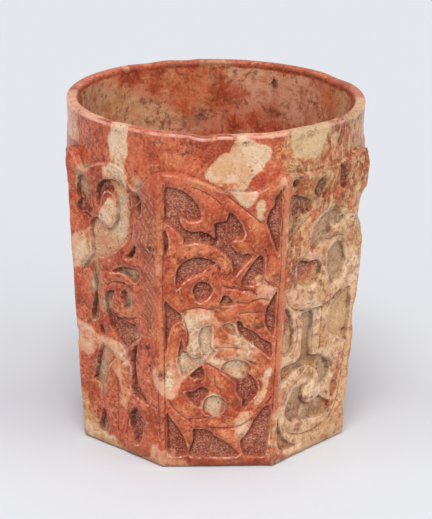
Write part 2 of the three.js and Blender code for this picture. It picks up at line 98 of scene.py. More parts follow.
def linear(colour):
    """An sRGB colour from 0 to 255 as the linear colour that a socket takes."""
    shares = [c / 255 for c in colour]
    return tuple(s / 12.92 if s <= 0.04045 else ((s + 0.055) / 1.055) ** 2.4 for s in shares) + (1.0,)


# Camera, at the photograph's viewing angle

IMAGE_HEIGHT_PX = 519
FOCAL_LENGTH_PX = 1970
SENSOR_MM = 36.0
CAMERA_DISTANCE = 510.4
CAMERA_HEIGHT = 228.4
CAMERA_SIDESTEP = 0.68
CAMERA_PITCH = math.radians(19.66)
CAMERA_ROLL = math.radians(0.91)
CUP_TURN = math.radians(3.24)


def make_camera():
    data = bpy.data.cameras.new("camera")
    data.sensor_width = SENSOR_MM
    data.lens = FOCAL_LENGTH_PX * SENSOR_MM / IMAGE_HEIGHT_PX
    data.clip_start = 0.01
    camera = bpy.data.objects.new("camera", data)
    bpy.context.collection.objects.link(camera)
    stand = Matrix.Translation((CAMERA_SIDESTEP * MM, -CAMERA_DISTANCE * MM, CAMERA_HEIGHT * MM))
    tilt = Matrix.Rotation(math.pi / 2 - CAMERA_PITCH, 4, "X") @ Matrix.Rotation(CAMERA_ROLL, 4, "Z")
    camera.matrix_world = Matrix.Rotation(-CUP_TURN, 4, "Z") @ stand @ tilt
    bpy.context.scene.camera = camera


# Shader nodes written as expressions


class Value:
    """A node's output. Arithmetic on it adds Math nodes."""

    def __init__(self, finish, socket):
        self.finish = finish
        self.socket = socket

    def math(self, operation, *values):
        return self.finish.node("ShaderNodeMath", {"operation": operation}, dict(enumerate(values)))

    def sine(self):
        return self.math("SINE", self)

    def __add__(self, other):
        return self.math("ADD", self, other)

    def __radd__(self, other):
        return self.math("ADD", other, self)

    def __sub__(self, other):
        return self.math("SUBTRACT", self, other)

    def __rsub__(self, other):
        return self.math("SUBTRACT", other, self)

    def __mul__(self, other):
        return self.math("MULTIPLY", self, other)

    def __rmul__(self, other):
        return self.math("MULTIPLY", other, self)

    def size(self):
        return self.math("ABSOLUTE", self)

    def rises(self, low, high):
        """0 below low, 1 above high, and a smooth rise between them."""
        ends = {"Value": self, "From Min": low, "From Max": high}
        return self.finish.node("ShaderNodeMapRange", {"interpolation_type": "SMOOTHSTEP"}, ends)

    def falls(self, low, high):
        return 1.0 - self.rises(low, high)

    def band(self, start, full, fading, end):
        """0 below start, 1 from full to fading, and 0 above end."""
        return self.rises(start, full) * self.falls(fading, end)


class Finish:
    """One procedural material, whose nodes all come from its node method."""

    def __init__(self, name):
        self.material = bpy.data.materials.new(name)
        self.material.use_nodes = True
        self.tree = self.material.node_tree
        self.tree.nodes.clear()
        self.place = self.node("ShaderNodeTexCoord", output="Object")
        self.colour = None

    def node(self, kind, settings=None, sockets=None, output=0):
        made = self.tree.nodes.new(kind)
        for name, value in (settings or {}).items():
            setattr(made, name, value)
        for name, value in (sockets or {}).items():
            if isinstance(value, Value):
                self.tree.links.new(value.socket, made.inputs[name])
            else:
                made.inputs[name].default_value = value
        return Value(self, made.outputs[output]) if made.outputs else None

    def attribute(self, name):
        return self.node("ShaderNodeAttribute", {"attribute_name": name}, output="Fac")

    def noise(self, size_mm, detail, roughness=0.55, shift=(0, 0, 0), squash=1.0):
        """Noise whose blotches are about size_mm across, from 0 to 1 with a mean of 0.5.

        A shift in millimetres makes it differ from other noise, and a squash below 1 makes its blotches tall.
        """
        offset = tuple(distance * MM for distance in shift)
        place = self.node("ShaderNodeVectorMath", {"operation": "ADD"}, {0: self.place, 1: offset})
        stretch = {0: place, 1: (1, 1, squash)}
        place = self.node("ShaderNodeVectorMath", {"operation": "MULTIPLY"}, stretch)
        sockets = {"Vector": place, "Scale": 1 / (size_mm * MM), "Detail": detail, "Roughness": roughness}
        return self.node("ShaderNodeTexNoise", {}, sockets)

    def cells(self, size_mm):
        """Distance to the nearest of many scattered points, size_mm apart, in shares of size_mm."""
        sockets = {"Vector": self.place, "Scale": 1 / (size_mm * MM)}
        return self.node("ShaderNodeTexVoronoi", {}, sockets, "Distance")

    def mix(self, share, a, b):
        """Colour a, turning into colour b as share goes from 0 to 1."""
        sockets = {0: share}
        for index, colour in ((6, a), (7, b)):
            sockets[index] = colour if isinstance(colour, Value) else linear(colour)
        return self.node("ShaderNodeMix", {"data_type": "RGBA"}, sockets, 2)

    def tint(self, share, colour):
        """Turns the finish's own colour into another one where share is 1."""
        self.colour = self.mix(share, self.colour, colour)

    def bump(self, height_mm):
        """The normal over a surface raised by height_mm millimetres."""
        return self.node("ShaderNodeBump", {}, {"Height": height_mm, "Distance": MM, "Strength": 1.0})

    def surface(self, **sockets):
        named = {name.replace("_", " "): value for name, value in sockets.items()}
        shader = self.node("ShaderNodeBsdfPrincipled", {}, named)
        self.node("ShaderNodeOutputMaterial", {}, {"Surface": shader})
        return self.material


# Small tools for arrays


def ease(x, low, high):
    """0 below low, 1 above high, smooth between."""
    t = np.clip((x - low) / (high - low), 0, 1)
    return t * t * (3 - 2 * t)


LATTICE_CELLS = 32
LATTICE_SHIFT = 1000.0


def lattice_noise(points, size, seed):
    """Smooth noise in 3-D, from -1 to 1, with blotches of about the given size."""
    grid = np.random.default_rng(seed).uniform(-1, 1, [LATTICE_CELLS] * 3)
    place = points / size + LATTICE_SHIFT
    cell = np.floor(place).astype(int)
    share = place - cell
    share = share * share * (3 - 2 * share)
    total = np.zeros(points.shape[:-1])
    for corner in itertools.product((0, 1), repeat=3):
        x, y, z = np.moveaxis(np.where(corner, share, 1 - share), -1, 0)
        i, j, k = np.moveaxis((cell + corner) % LATTICE_CELLS, -1, 0)
        total += x * y * z * grid[i, j, k]
    return total


def nearest_on_segments(points, starts, ends):
    """The nearest place on the segments to each point, how far it is, and which segment it is on."""
    place = points.copy()
    gap = np.full(len(points), np.inf)
    which = np.zeros(len(points), int)
    for i, (a, b) in enumerate(zip(starts, ends)):
        along = b - a
        t = np.clip(((points - a) @ along) / max(along @ along, 1e-9), 0, 1)
        there = a + t[:, None] * along
        distance = np.hypot(*(points - there).T)
        nearer = distance < gap
        place[nearer] = there[nearer]
        gap[nearer] = distance[nearer]
        which[nearer] = i
    return place, gap, which


def inside_outlines(points, starts, ends):
    """True where a point lies inside the closed outlines that the segments make."""
    inside = np.zeros(len(points), bool)
    for a, b in zip(starts, ends):
        spans = (a[1] > points[:, 1]) != (b[1] > points[:, 1])
        rise = b[1] - a[1] if b[1] != a[1] else 1e-9
        crossing = a[0] + (points[:, 1] - a[1]) * (b[0] - a[0]) / rise
        inside ^= spans & (points[:, 0] < crossing)
    return inside


def smooth_line(points, closed=False, steps=5):
    """A smooth line through the points."""
    points = np.array(points, float)
    if closed:
        padded = np.vstack([points[-1], points, points[:2]])
    else:
        padded = np.vstack([2 * points[0] - points[1], points, 2 * points[-1] - points[-2]])
    line = []
    for p0, p1, p2, p3 in zip(padded, padded[1:], padded[2:], padded[3:]):
        for t in np.linspace(0, 1, steps, endpoint=False):
            line.append(0.5 * (2 * p1 + (p2 - p0) * t + (2 * p0 - 5 * p1 + 4 * p2 - p3) * t**2
                               + (3 * p1 - p0 - 3 * p2 + p3) * t**3))
    line.append(padded[-2])
    return np.array(line)


# What the solid says about each face


def solid_triangles(node):
    """The CAD node's corners in millimetres, with doubled corners joined, and its triangles."""
    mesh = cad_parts[node].data
    mesh.calc_loop_triangles()
    corners = np.empty(len(mesh.vertices) * 3)
    mesh.vertices.foreach_get("co", corners)
    corners = corners.reshape(-1, 3) / MM
    triangles = np.empty(len(mesh.loop_triangles) * 3, int)
    mesh.loop_triangles.foreach_get("vertices", triangles)
    joined, index = np.unique(np.round(corners, 3), axis=0, return_inverse=True)
    return joined, index.reshape(-1)[triangles].reshape(-1, 3)


def azimuth_of(face):
    return -math.pi / 2 + face * 2 * HALF_ANGLE


def level_axes(face):
    """The level directions out of a face and across it to the right."""
    azimuth = azimuth_of(face)
    outward = np.array([math.cos(azimuth), math.sin(azimuth), 0])
    return outward, np.array([-math.sin(azimuth), math.cos(azimuth), 0])


def edges_of(triangles):
    return np.concatenate([triangles[:, [0, 1]], triangles[:, [1, 2]], triangles[:, [2, 0]]])


def open_edges(triangles):
    """The edges that only one of the triangles has."""
    kinds, counts = np.unique(np.sort(edges_of(triangles), axis=1), axis=0, return_counts=True)
    return kinds[counts == 1]


FACE_TILT = math.cos(math.atan2(SHOULDER_APOTHEM - FOOT_APOTHEM, SHOULDER_HEIGHT))

# Which of the solid's triangles are a face's sunk floors, and which are the walls of its top edge
FACE_HALF_WIDTH = 19
GROUND_DEPTHS = (0.8, 4)
WALL_DEPTHS = (-1, 6)
AT_THE_FACE = 0.02
TOP_EDGE_ABOVE = 74


class SolidFace:
    """One face of the solid as a flat drawing: the outlines of its sunk grounds and its top edge."""

    def __init__(self, corners, triangles, face):
        level, across = level_axes(face)
        up = level * (SHOULDER_APOTHEM - FOOT_APOTHEM) + np.array([0, 0, SHOULDER_HEIGHT])
        up /= np.linalg.norm(up)
        outward = np.cross(across, up)
        flat = corners - level * FOOT_APOTHEM
        drawn = np.stack([flat @ across, flat @ up * FACE_TILT], axis=-1)
        depth = -(flat @ outward)
        a, b, c = (corners[triangles[:, i]] for i in range(3))
        normal = np.cross(b - a, c - a)
        normal /= np.maximum(np.linalg.norm(normal, axis=1, keepdims=True), 1e-12)
        lean = normal @ outward
        near = np.abs(drawn[triangles].mean(axis=1)[:, 0]) < FACE_HALF_WIDTH

        def between(low, high):
            middle = depth[triangles].mean(axis=1)
            return near & (middle > low) & (middle < high)

        floors = triangles[(lean > 0.9995) & between(*GROUND_DEPTHS)]
        edges = open_edges(floors)
        self.starts, self.ends = drawn[edges[:, 0]], drawn[edges[:, 1]]
        self.depths = depth[edges].mean(axis=1)
        rim = edges_of(triangles[(np.abs(lean) < 0.1) & between(*WALL_DEPTHS)])
        at_face = np.abs(depth[rim]).max(axis=1) < AT_THE_FACE
        high = drawn[rim].min(axis=1)[:, 1] > TOP_EDGE_ABOVE
        rim = rim[at_face & high]
        self.rim_starts, self.rim_ends = drawn[rim[:, 0]], drawn[rim[:, 1]]

    def top_edge(self, across):
        """The height of the face's top edge at each place across it."""
        heights = np.full(len(across), np.nan)
        for a, b in zip(self.rim_starts, self.rim_ends):
            left, right = (a, b) if a[0] < b[0] else (b, a)
            if right[0] - left[0] < 1e-6:
                continue
            on = (across >= left[0]) & (across <= right[0])
            there = left[1] + (across[on] - left[0]) * (right[1] - left[1]) / (right[0] - left[0])
            heights[on] = np.fmax(heights[on], there)
        known = ~np.isnan(heights)
        return np.interp(across, across[known], heights[known])


# Carving that is too fine for the solid. Each line runs through (across, up) points in millimetres on the
# face, and is a V-shaped cut of the given depth. The stone on its right is lower, as if one scroll went over
# another there.

FRONT_LINES = [
    ([(-8, 79.4), (-5, 78.2), (-2.5, 76.6), (-0.3, 74.6)], 0.35),
    ([(-10.2, 44.9), (-8.5, 45.8), (-6, 46.3), (-3, 45.8), (-1.5, 46), (0, 47)], 0.6),
    ([(4, 47.8), (6.7, 47.4), (8.5, 48.2), (10.8, 48.7), (12.5, 48)], 0.55),
    ([(4.8, 44.6), (7.5, 44.9), (11, 44.9)], 0.4),
    ([(-3.2, 34.6), (-1, 34.9), (2, 34.9), (5, 34.6)], 0.4),
    ([(-5.2, 30), (-3.4, 30.1), (-1.6, 29.3), (0, 28.2)], 0.6),
    ([(4.2, 25.4), (5.6, 24.8), (7, 25.6)], 0.45),
    ([(-11, 51.2), (-10.9, 49.4), (-10, 47.8)], 0.4),
    ([(-7.6, 14.4), (-5, 14.3), (-2.4, 14.8), (0.2, 15.1)], 0.4),
    ([(-3, 11.7), (0, 11.4), (3, 11.5), (6, 12.3), (8.6, 14)], 0.6),
    ([(-13, 19.5), (-11.4, 17), (-9.4, 15), (-7.4, 13.5)], 0.45),
    ([(-6, 24.6), (-4.4, 25.4), (-4.2, 27)], 0.5),
    ([(-1.2, 26.5), (-1, 24), (0.5, 22.4)], 0.45),
    ([(5.5, 52.2), (3, 51.6), (0.5, 52.4)], 0.5),
    ([(0.6, 54.2), (2, 55.6), (2.6, 57.4), (2.4, 59.6)], 0.35),
    ([(10.4, 55), (11.6, 57.4), (11.8, 60.2), (11, 62.5)], 0.4),
    ([(9.8, 69.6), (7.4, 71.8), (4, 74.6), (1.4, 76.8)], 0.4),
    ([(-15.4, 45), (-15.3, 58), (-15.3, 69), (-15.4, 80)], 0.35),
    ([(-14.3, 5), (-14.4, 16), (-14.7, 30), (-15.2, 44)], 0.35),
    ([(15.6, 79), (15.6, 66), (15.5, 52), (15.3, 45)], 0.35),
    ([(15.2, 44), (14.9, 32), (14.6, 20), (14.4, 5)], 0.35),
    ([(-3.6, 55.6), (-3.2, 57.2), (-1.6, 58), (-0.4, 57.2), (-0.8, 55.8)], 0.4),
    ([(9.2, 49.8), (7.6, 51), (5, 51.2), (3.2, 52.2)], 0.5),
    ([(12.8, 52.4), (11, 54), (9.6, 55)], 0.4),
    ([(9.6, 30), (6.8, 31), (4, 31.4), (1.6, 30.6)], 0.5),
    ([(-9.6, 33.4), (-8.4, 36.4), (-8.6, 40), (-9.6, 43)], 0.4),
    ([(13.8, 20.6), (12.2, 18), (10, 17)], 0.4),
]
LEFT_LINES = [
    ([(1.5, 39.5), (4, 40), (6.5, 41)], 0.5),
    ([(-4, 47.6), (-2, 48.9), (0, 49.4), (2.4, 49.6), (4.8, 48.8)], 0.6),
    ([(-1.4, 21), (-1.5, 18), (-1.4, 14), (-1.8, 9), (-2, 5)], 0.5),
    ([(-7.2, 17.5), (-7.3, 14.8), (-7, 12)], 0.5),
    ([(13.9, 22), (13.8, 15), (13.8, 8)], 0.3),
    ([(-9.4, 65.4), (-11, 66.2), (-12.8, 65.4)], 0.5),
    ([(-13.4, 48.5), (-12.6, 50.8), (-11, 52.4)], 0.5),
    ([(-13.6, 71.8), (-12.4, 71), (-11, 71.2)], 0.4),
    ([(5.4, 76), (6.2, 70), (6, 64.5), (4.6, 61)], 0.35),
    ([(3, 12.4), (1.6, 9.5), (1.2, 5)], 0.4),
]
RIGHT_LINES = [
    ([(4.4, 70.2), (6.5, 68.2), (8.6, 65.4), (10.2, 63), (11.6, 61.6)], 0.6),
    ([(-14.6, 60), (-14.7, 55.5), (-14, 50.8), (-12.6, 47.2), (-10.5, 44.6), (-8, 43.3), (-5, 42.4),
      (-2, 41.9), (1.5, 41.7), (5, 42.4), (8, 43.9), (10.5, 45.6), (13, 48.2)], 0.8),
    ([(-1.2, 40.8), (-1.2, 35), (-1, 29)], 0.55),
    ([(1.9, 41), (2, 35), (2.2, 29)], 0.4),
    ([(-9.6, 8.6), (-7, 7), (-3.5, 5.9), (1, 5.4), (5, 6)], 0.5),
    ([(-9.6, 20.4), (-7.8, 22), (-5.2, 22.8), (-2.6, 22.4)], 0.4),
    ([(13.2, 27), (12.9, 21), (12.4, 15), (10.6, 9.4), (8, 6.4)], 0.5),
    ([(-13.4, 60.6), (-12, 64.8), (-9.4, 67.6), (-6.4, 69.3)], 0.4),
    ([(0.8, 61.4), (3, 60.6), (6.4, 61), (9.4, 60)], 0.35),
    ([(-9, 30.8), (-7.8, 33.5), (-7.6, 37), (-8.6, 41)], 0.35),
]

# Which lines each face has, round the cup to the right from the front, and whether they are mirrored
LINES_ROUND_THE_CUP = [
    (FRONT_LINES, 1), (RIGHT_LINES, 1), (LEFT_LINES, -1), (FRONT_LINES, -1),
    (LEFT_LINES, 1), (RIGHT_LINES, -1), (FRONT_LINES, 1), (LEFT_LINES, 1),
]

# How rough the old surface is on each face, and where it starts to crumble towards the neck
ROUGHNESS_ROUND_THE_CUP = [0.7, 1.3, 1.0, 0.7, 0.8, 1.1, 0.8, 1.0]
CRUMBLING_ROUND_THE_CUP = [0.0, 1.1, 0.6, 0.0, 0.2, 0.7, 0.0, 0.15]
CRUMBLING_HEIGHTS = (66, 78)

# How wide the unevenness of the stone is, how deep it is in raised stone, and how deep in the sunk grounds
SWELL_SIZE = 5.0
GRIT_SIZE = 1.3
CRUMB_SIZE = 2.6
SWELL = 0.14
GRIT = 0.05
GROUND_SWELL = 0.26
GROUND_GRIT = 0.2
GROUND_PITS = 0.2
GROUND_LIFT = 0.36


# The cup's outer surface

# A carved wall goes down within this distance of its outline, and mesh corners near it are moved onto it.
WALL_RUN = 0.42
SNAP = 0.25

# Corners nearer than this to a ridge, the foot or the top edge stay where they are
CLEAR_OF_RIDGE = 0.5
CLEAR_OF_FOOT = 1.5
CLEAR_OF_TOP = 0.4

# How deep edges are worn and how far that reaches, how much wider than a round edge a ridge is worn, and
# how deep, how far and between which heights its top is worn down
WORN_EDGE = 0.6
WORN_EDGE_REACH = 1.0
RIDGE_SPREAD = 2.2
WORN_CORNER = 1.5
WORN_CORNER_REACH = 4.5
WORN_CORNER_HEIGHTS = (79.5, 84)

# Half the width of a cut line, and how deep the step on its right is and how far it reaches
LINE_HALF_WIDTH = 0.3
STEP_DEPTH = 0.6
STEP_REACH = 2.6

# How high the ledge over a top edge rises, and what each millimetre from face to neck adds to that
LEDGE_RISE = 0.95
LEDGE_SLOPE = -0.15

# What a distance says where there is nothing to be near
NOT_HERE = 9.0

# Painted shade lies in the corners below and to the right of an edge, as under a light from the upper left,
# and the edges that look up and to the left get painted highlights. On the faces at the right it is the other
# way round, left for right.
DOWN_AND_RIGHT = np.array([0.6, -0.8])

# Tool scratches on the left-hand face run this much off the vertical, down to the right or to the left.
SCRATCH_LEAN = math.radians(38)
HATCH_LEAN = math.radians(-24)


def apothem_at(height):
    return FOOT_APOTHEM + (SHOULDER_APOTHEM - FOOT_APOTHEM) * height / SHOULDER_HEIGHT


# Rows of corners, evenly spaced from the foot, then stretched so that one of them runs along the top edge
FOOT_ROWS = [0.0, 0.15, 0.4, 0.75, 1.2]
EVEN_ROWS_TO = 60.0
LAST_PANEL_ROW = 80.2
ROWS_OVER_LEDGE = [0.05, 0.11, 0.19, 0.29, 0.42, 0.58, 0.77, 1.0]


def panel_rows(top):
    """The height of each corner, row by row, for columns whose top edges are at the given heights."""
    even = np.concatenate([FOOT_ROWS, np.arange(1.7, EVEN_ROWS_TO, ROW_STEP)])
    steps = np.arange(EVEN_ROWS_TO, LAST_PANEL_ROW, ROW_STEP)
    shares = (steps - EVEN_ROWS_TO) / (steps[-1] - EVEN_ROWS_TO)
    rows = [np.full(len(top), height) for height in even]
    rows += [EVEN_ROWS_TO + (top - EVEN_ROWS_TO) * share for share in shares]
    rows += [top + (PANEL_TOP - top) * share for share in ROWS_OVER_LEDGE]
    return np.array(rows)


def snapped_to_walls(drawn, nearest, signed, free):
    """The drawn points, with those close to a ground's outline or to the foot of its wall moved onto it."""
    away = drawn - nearest
    away /= np.maximum(np.hypot(*away.T), 1e-6)[:, None]
    on_edge = free & (np.abs(signed) < SNAP)
    on_foot = free & (signed >= SNAP) & (signed < SNAP + WALL_RUN)
    moved = np.where(on_edge[:, None], nearest, drawn)
    moved = np.where(on_foot[:, None], nearest + WALL_RUN * away, moved)
    settled = np.where(on_edge, 0.0, np.where(on_foot, WALL_RUN, signed))
    return moved, settled


def cut_lines(drawn, signed, free, lines, mirror):
    """Points moved onto the cut lines near them, how deep the cuts are, and how far the nearest one is."""
    to_line = np.full(len(drawn), NOT_HERE)
    depth = np.zeros(len(drawn))
    for points, deep in lines:
        line = smooth_line([(mirror * x, y) for x, y in points])
        place, gap, which = nearest_on_segments(drawn, line[:-1], line[1:])
        on_line = free & (gap < SNAP) & (signed < -0.6)
        drawn = np.where(on_line[:, None], place, drawn)
        gap = np.where(on_line, 0.0, gap)
        raised = ease(-signed, 0.0, 0.3)
        along = (line[1:] - line[:-1])[which] * mirror
        aside = drawn - place
        lower = along[:, 0] * aside[:, 1] - along[:, 1] * aside[:, 0] < 0
        step = STEP_DEPTH * np.exp(-gap / np.where(lower, STEP_REACH, WORN_EDGE_REACH))
        depth = np.maximum(depth, raised * (deep * np.exp(-((gap / LINE_HALF_WIDTH) ** 2)) + step))
        to_line = np.minimum(to_line, gap + NOT_HERE * (1 - raised))
    return drawn, depth, to_line


# Chips in the ridges: which ridge, counted to the right from the one at the front face's right, the height of
# the chip's middle, half its length, how far it reaches along the faces at its left and right, and its depth

RIDGE_CHIPS = [
    (1, 65.4, 7.0, 3.6, 11.0, 2.0),
    (1, 36.0, 4.6, 1.2, 9.0, 0.5),
    (1, 82.5, 1.8, 1.5, 4.0, 0.9),
    (1, 22.0, 1.2, 0.8, 2.0, 0.3),
    (0, 57.0, 1.5, 0.8, 0.8, 0.3),
    (7, 30.0, 1.4, 0.8, 0.8, 0.25),
    (6, 30.5, 2.2, 2.0, 1.0, 0.4),
    (2, 33.0, 3.2, 1.3, 1.6, 0.7),
    (3, 71.0, 4.0, 1.6, 2.0, 0.9),
    (4, 18.0, 2.6, 1.2, 1.5, 0.6),
    (4, 60.0, 1.8, 1.0, 1.4, 0.4),
    (5, 44.0, 3.4, 1.4, 1.0, 0.8),
]


def ridge_wear(face, to_ridge, side, height):
    """How deep the ridge's rounding and chips are near the ridge on a side of a face."""
    near = np.clip(1 - to_ridge / (RIDGE_SPREAD * RIDGE_ROUNDING * math.tan(HALF_ANGLE)), 0, 1)
    depth = RIDGE_ROUNDING * (1 / math.cos(HALF_ANGLE) - 1) * near**2
    near = np.clip(1 - to_ridge / WORN_CORNER_REACH, 0, 1)
    depth = depth + WORN_CORNER * near**2 * ease(height, *WORN_CORNER_HEIGHTS)
    for ridge, middle, half_length, left_reach, right_reach, deep in RIDGE_CHIPS:
        sides = ((ridge, side > 0, left_reach), ((ridge + 1) % FACES, side < 0, right_reach))
        for chipped, on_side, reach in sides:
            if chipped == face:
                bowl = 1 - (to_ridge / reach) ** 2 - ((height - middle) / half_length) ** 2
                depth = depth + np.where(on_side, deep * np.clip(bowl, 0, 1) ** 0.8, 0)
    return depth


def carved_face(face, solid):
    """One face's corners, row by row, and the distances that its colour needs."""
    count = COLUMNS_ON_FACE[face]
    shares = np.arange(count) / count * 2 - 1
    top = solid.top_edge(shares * apothem_at(SHOULDER_HEIGHT) * math.tan(HALF_ANGLE))
    z = panel_rows(top)
    s = np.broadcast_to(shares, z.shape)
    above = (z - top).ravel()
    half = apothem_at(z) * math.tan(HALF_ANGLE)
    drawn = np.stack([(s * half).ravel(), z.ravel()], axis=-1)
    to_ridge = (half - np.abs(s * half)).ravel()
    free = (to_ridge > CLEAR_OF_RIDGE) & (drawn[:, 1] > CLEAR_OF_FOOT) & (above < -CLEAR_OF_TOP)

    nearest, gap, which = nearest_on_segments(drawn, solid.starts, solid.ends)
    # Which way painted shade lies from an edge on this face
    toward_painted_shade = DOWN_AND_RIGHT * (-1 if 0 < face < FACES / 2 else 1, 1)
    below = (drawn - nearest) @ toward_painted_shade / np.maximum(gap, 1e-6)
    signed = np.where(inside_outlines(drawn, solid.starts, solid.ends), gap, -gap)
    drawn, signed = snapped_to_walls(drawn, nearest, signed, free)
    wall = np.clip(signed / WALL_RUN, 0, 1)
    wear_and_highlight = WORN_EDGE * np.exp(-np.maximum(-signed, 0) / WORN_EDGE_REACH)
    depth = solid.depths[which] * wall + wear_and_highlight * (1 - wall)
    lines, mirror = LINES_ROUND_THE_CUP[face]
    drawn, cuts, to_line = cut_lines(drawn, signed, free, lines, mirror)
    depth += cuts

    across, height = drawn.T
    half = apothem_at(height) * math.tan(HALF_ANGLE)
    across = np.where(np.abs(s.ravel()) == 1, np.sign(s.ravel()) * half, across)
    share = across / half
    level, side = (axis[:2] for axis in level_axes(face))
    base = level * apothem_at(height)[:, None] + side * across[:, None]

    rough = ROUGHNESS_ROUND_THE_CUP[face]
    at = np.column_stack([base, height])
    swell = 1 + lattice_noise(at, SWELL_SIZE, seed=1)
    grit = 1 + lattice_noise(at, GRIT_SIZE, seed=2)
    pitted = np.random.default_rng(30 + face).uniform(0, 1, len(at))
    depth += (1 - wall) * (SWELL * swell + rough * GRIT * grit)
    crumbled = CRUMBLING_ROUND_THE_CUP[face] * ease(height, *CRUMBLING_HEIGHTS)
    depth += crumbled * np.clip(lattice_noise(at, CRUMB_SIZE, seed=5) + 0.15, 0, 1)
    depth += wall * (GROUND_SWELL * swell + GROUND_GRIT * grit + GROUND_PITS * pitted - GROUND_LIFT)
    depth += ridge_wear(face, to_ridge, share, height) * (1 + 0.25 * lattice_noise(at, 1.6, seed=3))
    turn = np.clip(1 - height / FOOT_ROUNDING, 0, 1)
    depth += FOOT_ROUNDING * (1 - np.sqrt(1 - turn**2))

    radial = base / np.linalg.norm(base, axis=-1, keepdims=True)
    lean = ease(np.abs(share), 0.8, 1.0)[:, None]
    inward = -(level * (1 - lean) + radial * lean)
    inward /= np.linalg.norm(inward, axis=-1, keepdims=True)
    toward = -(base * inward).sum(axis=-1)
    to_neck = toward - np.sqrt(np.maximum(toward**2 - (base**2).sum(axis=-1) + NECK_RADIUS**2, 0))
    to_neck = np.maximum(to_neck, 0)

    # Over its top edge the face slopes back to the round neck
    up_ledge = above / (LEDGE_RISE + LEDGE_SLOPE * to_neck)
    depth = np.maximum(depth * (above <= 0.01), to_neck * np.clip(up_ledge, 0, 1))
    place = np.column_stack([base + inward * depth[:, None], height])
    on_face = above < 0.1
    fields = {
        "into_ground": np.where(on_face, signed, -NOT_HERE),
        "to_line": np.where(on_face, to_line, NOT_HERE),
        "to_ridge": np.where(on_face, to_ridge, NOT_HERE),
        "over_ledge": np.where(above > 0, up_ledge, above),
        "below_edge": np.where(on_face, below, 0),
        "over_scratches": across * math.cos(SCRATCH_LEAN) + height * math.sin(SCRATCH_LEAN),
        "over_hatching": across * math.cos(HATCH_LEAN) + height * math.sin(HATCH_LEAN),
    }
    shape = z.shape
    return place.reshape(shape + (3,)), {name: field.reshape(shape) for name, field in fields.items()}


def carved_panels():
    """The outer surface from the foot to the neck, row by row, and the distances that its colour needs."""
    corners, triangles = solid_triangles("cup")
    faces = [carved_face(face, SolidFace(corners, triangles, face)) for face in range(FACES)]
    place = np.concatenate([face_place for face_place, _ in faces], axis=1)
    fields = {name: np.concatenate([fields[name] for _, fields in faces], axis=1) for name in faces[0][1]}
    return place, fields


# The lip's waves: azimuth in degrees from the front, half-width in degrees, and how far the lip dips

LIP_DIPS = [
    (-7.5, 4.5, 0.8), (4, 3, 0.2), (17, 6, 0.3), (-25, 8, 0.15), (-153, 6, 0.3), (-170, 4, 0.3),
    (118, 7, 0.4), (62, 9, 0.35),
]

# Where the neck is crumbled, in degrees to the right of the front, how far to either side and how deep, and
# how deep the swells of the whole neck are
CRUMBLED_NECK = 46
CRUMBLED_SPAN = 19
NECK_CRUMBLING = 0.5
NECK_SWELL = 0.12


def lip_dip(angles):
    degrees = np.degrees(angles) + 90
    dip = np.zeros(len(angles))
    for azimuth, half_width, deep in LIP_DIPS:
        gap = (degrees - azimuth + 180) % 360 - 180
        dip += deep * np.exp(-((gap / half_width) ** 2))
    return dip


def arc(centre_radius, centre_height, radius, start, end, steps):
    angles = np.radians(np.linspace(start, end, steps))
    return [(centre_radius + radius * math.cos(a), centre_height + radius * math.sin(a)) for a in angles]


NECK_ROWS = 10
NECK_FOOT = PANEL_TOP + 0.4
NECK_RISE = 6.6


def neck_and_lip_profile():
    """Radius and height from the top of the panels up the neck and over the lip."""
    flare = MOUTH_RADIUS - NECK_RADIUS
    neck = [(NECK_RADIUS + flare * t, NECK_FOOT + NECK_RISE * t) for t in np.linspace(0, 1, NECK_ROWS)]
    outer, inner = LIP_OUTER_ROUNDING, LIP_INNER_ROUNDING
    inner_centre = MOUTH_RADIUS - LIP_WALL + inner
    lip = arc(MOUTH_RADIUS - outer, CUP_HEIGHT - outer, outer, 0, 90, 5)
    lip += [(inner_centre + 0.5, CUP_HEIGHT)] + arc(inner_centre, CUP_HEIGHT - inner, inner, 90, 180, 6)
    return neck + lip


WELL_WALL_ROWS = 30
WELL_FLOOR_RINGS = (23.0, 19.0, 15.0, 11.0, 7.0, 3.5)


def well_profile():
    """Radius and height from just under the lip down the well to its floor."""
    top_radius = MOUTH_RADIUS - LIP_WALL
    slope_top = CUP_HEIGHT - LIP_INNER_ROUNDING
    slope_foot = FLOOR_THICKNESS + WELL_CORNER_RADIUS
    wall = [(top_radius + (WELL_FLOOR_RADIUS - top_radius) * t, slope_top + (slope_foot - slope_top) * t)
            for t in np.linspace(0.02, 1, WELL_WALL_ROWS)]
    bend = arc(WELL_FLOOR_RADIUS - WELL_CORNER_RADIUS, slope_foot, WELL_CORNER_RADIUS, -8, -90, 6)
    floor = [(radius, FLOOR_THICKNESS) for radius in WELL_FLOOR_RINGS]
    return wall + bend + floor


def even_angles():
    """The azimuth of each column where the cup is round."""
    angles = []
    for face, count in enumerate(COLUMNS_ON_FACE):
        shares = np.arange(count) / count * 2 - 1
        angles.append(azimuth_of(face) + np.arctan(shares * math.tan(HALF_ANGLE)))
    return np.concatenate(angles)


def ring(radius, height, angles):
    heights = np.broadcast_to(height, angles.shape)
    return np.stack([radius * np.cos(angles), radius * np.sin(angles), heights], axis=-1)


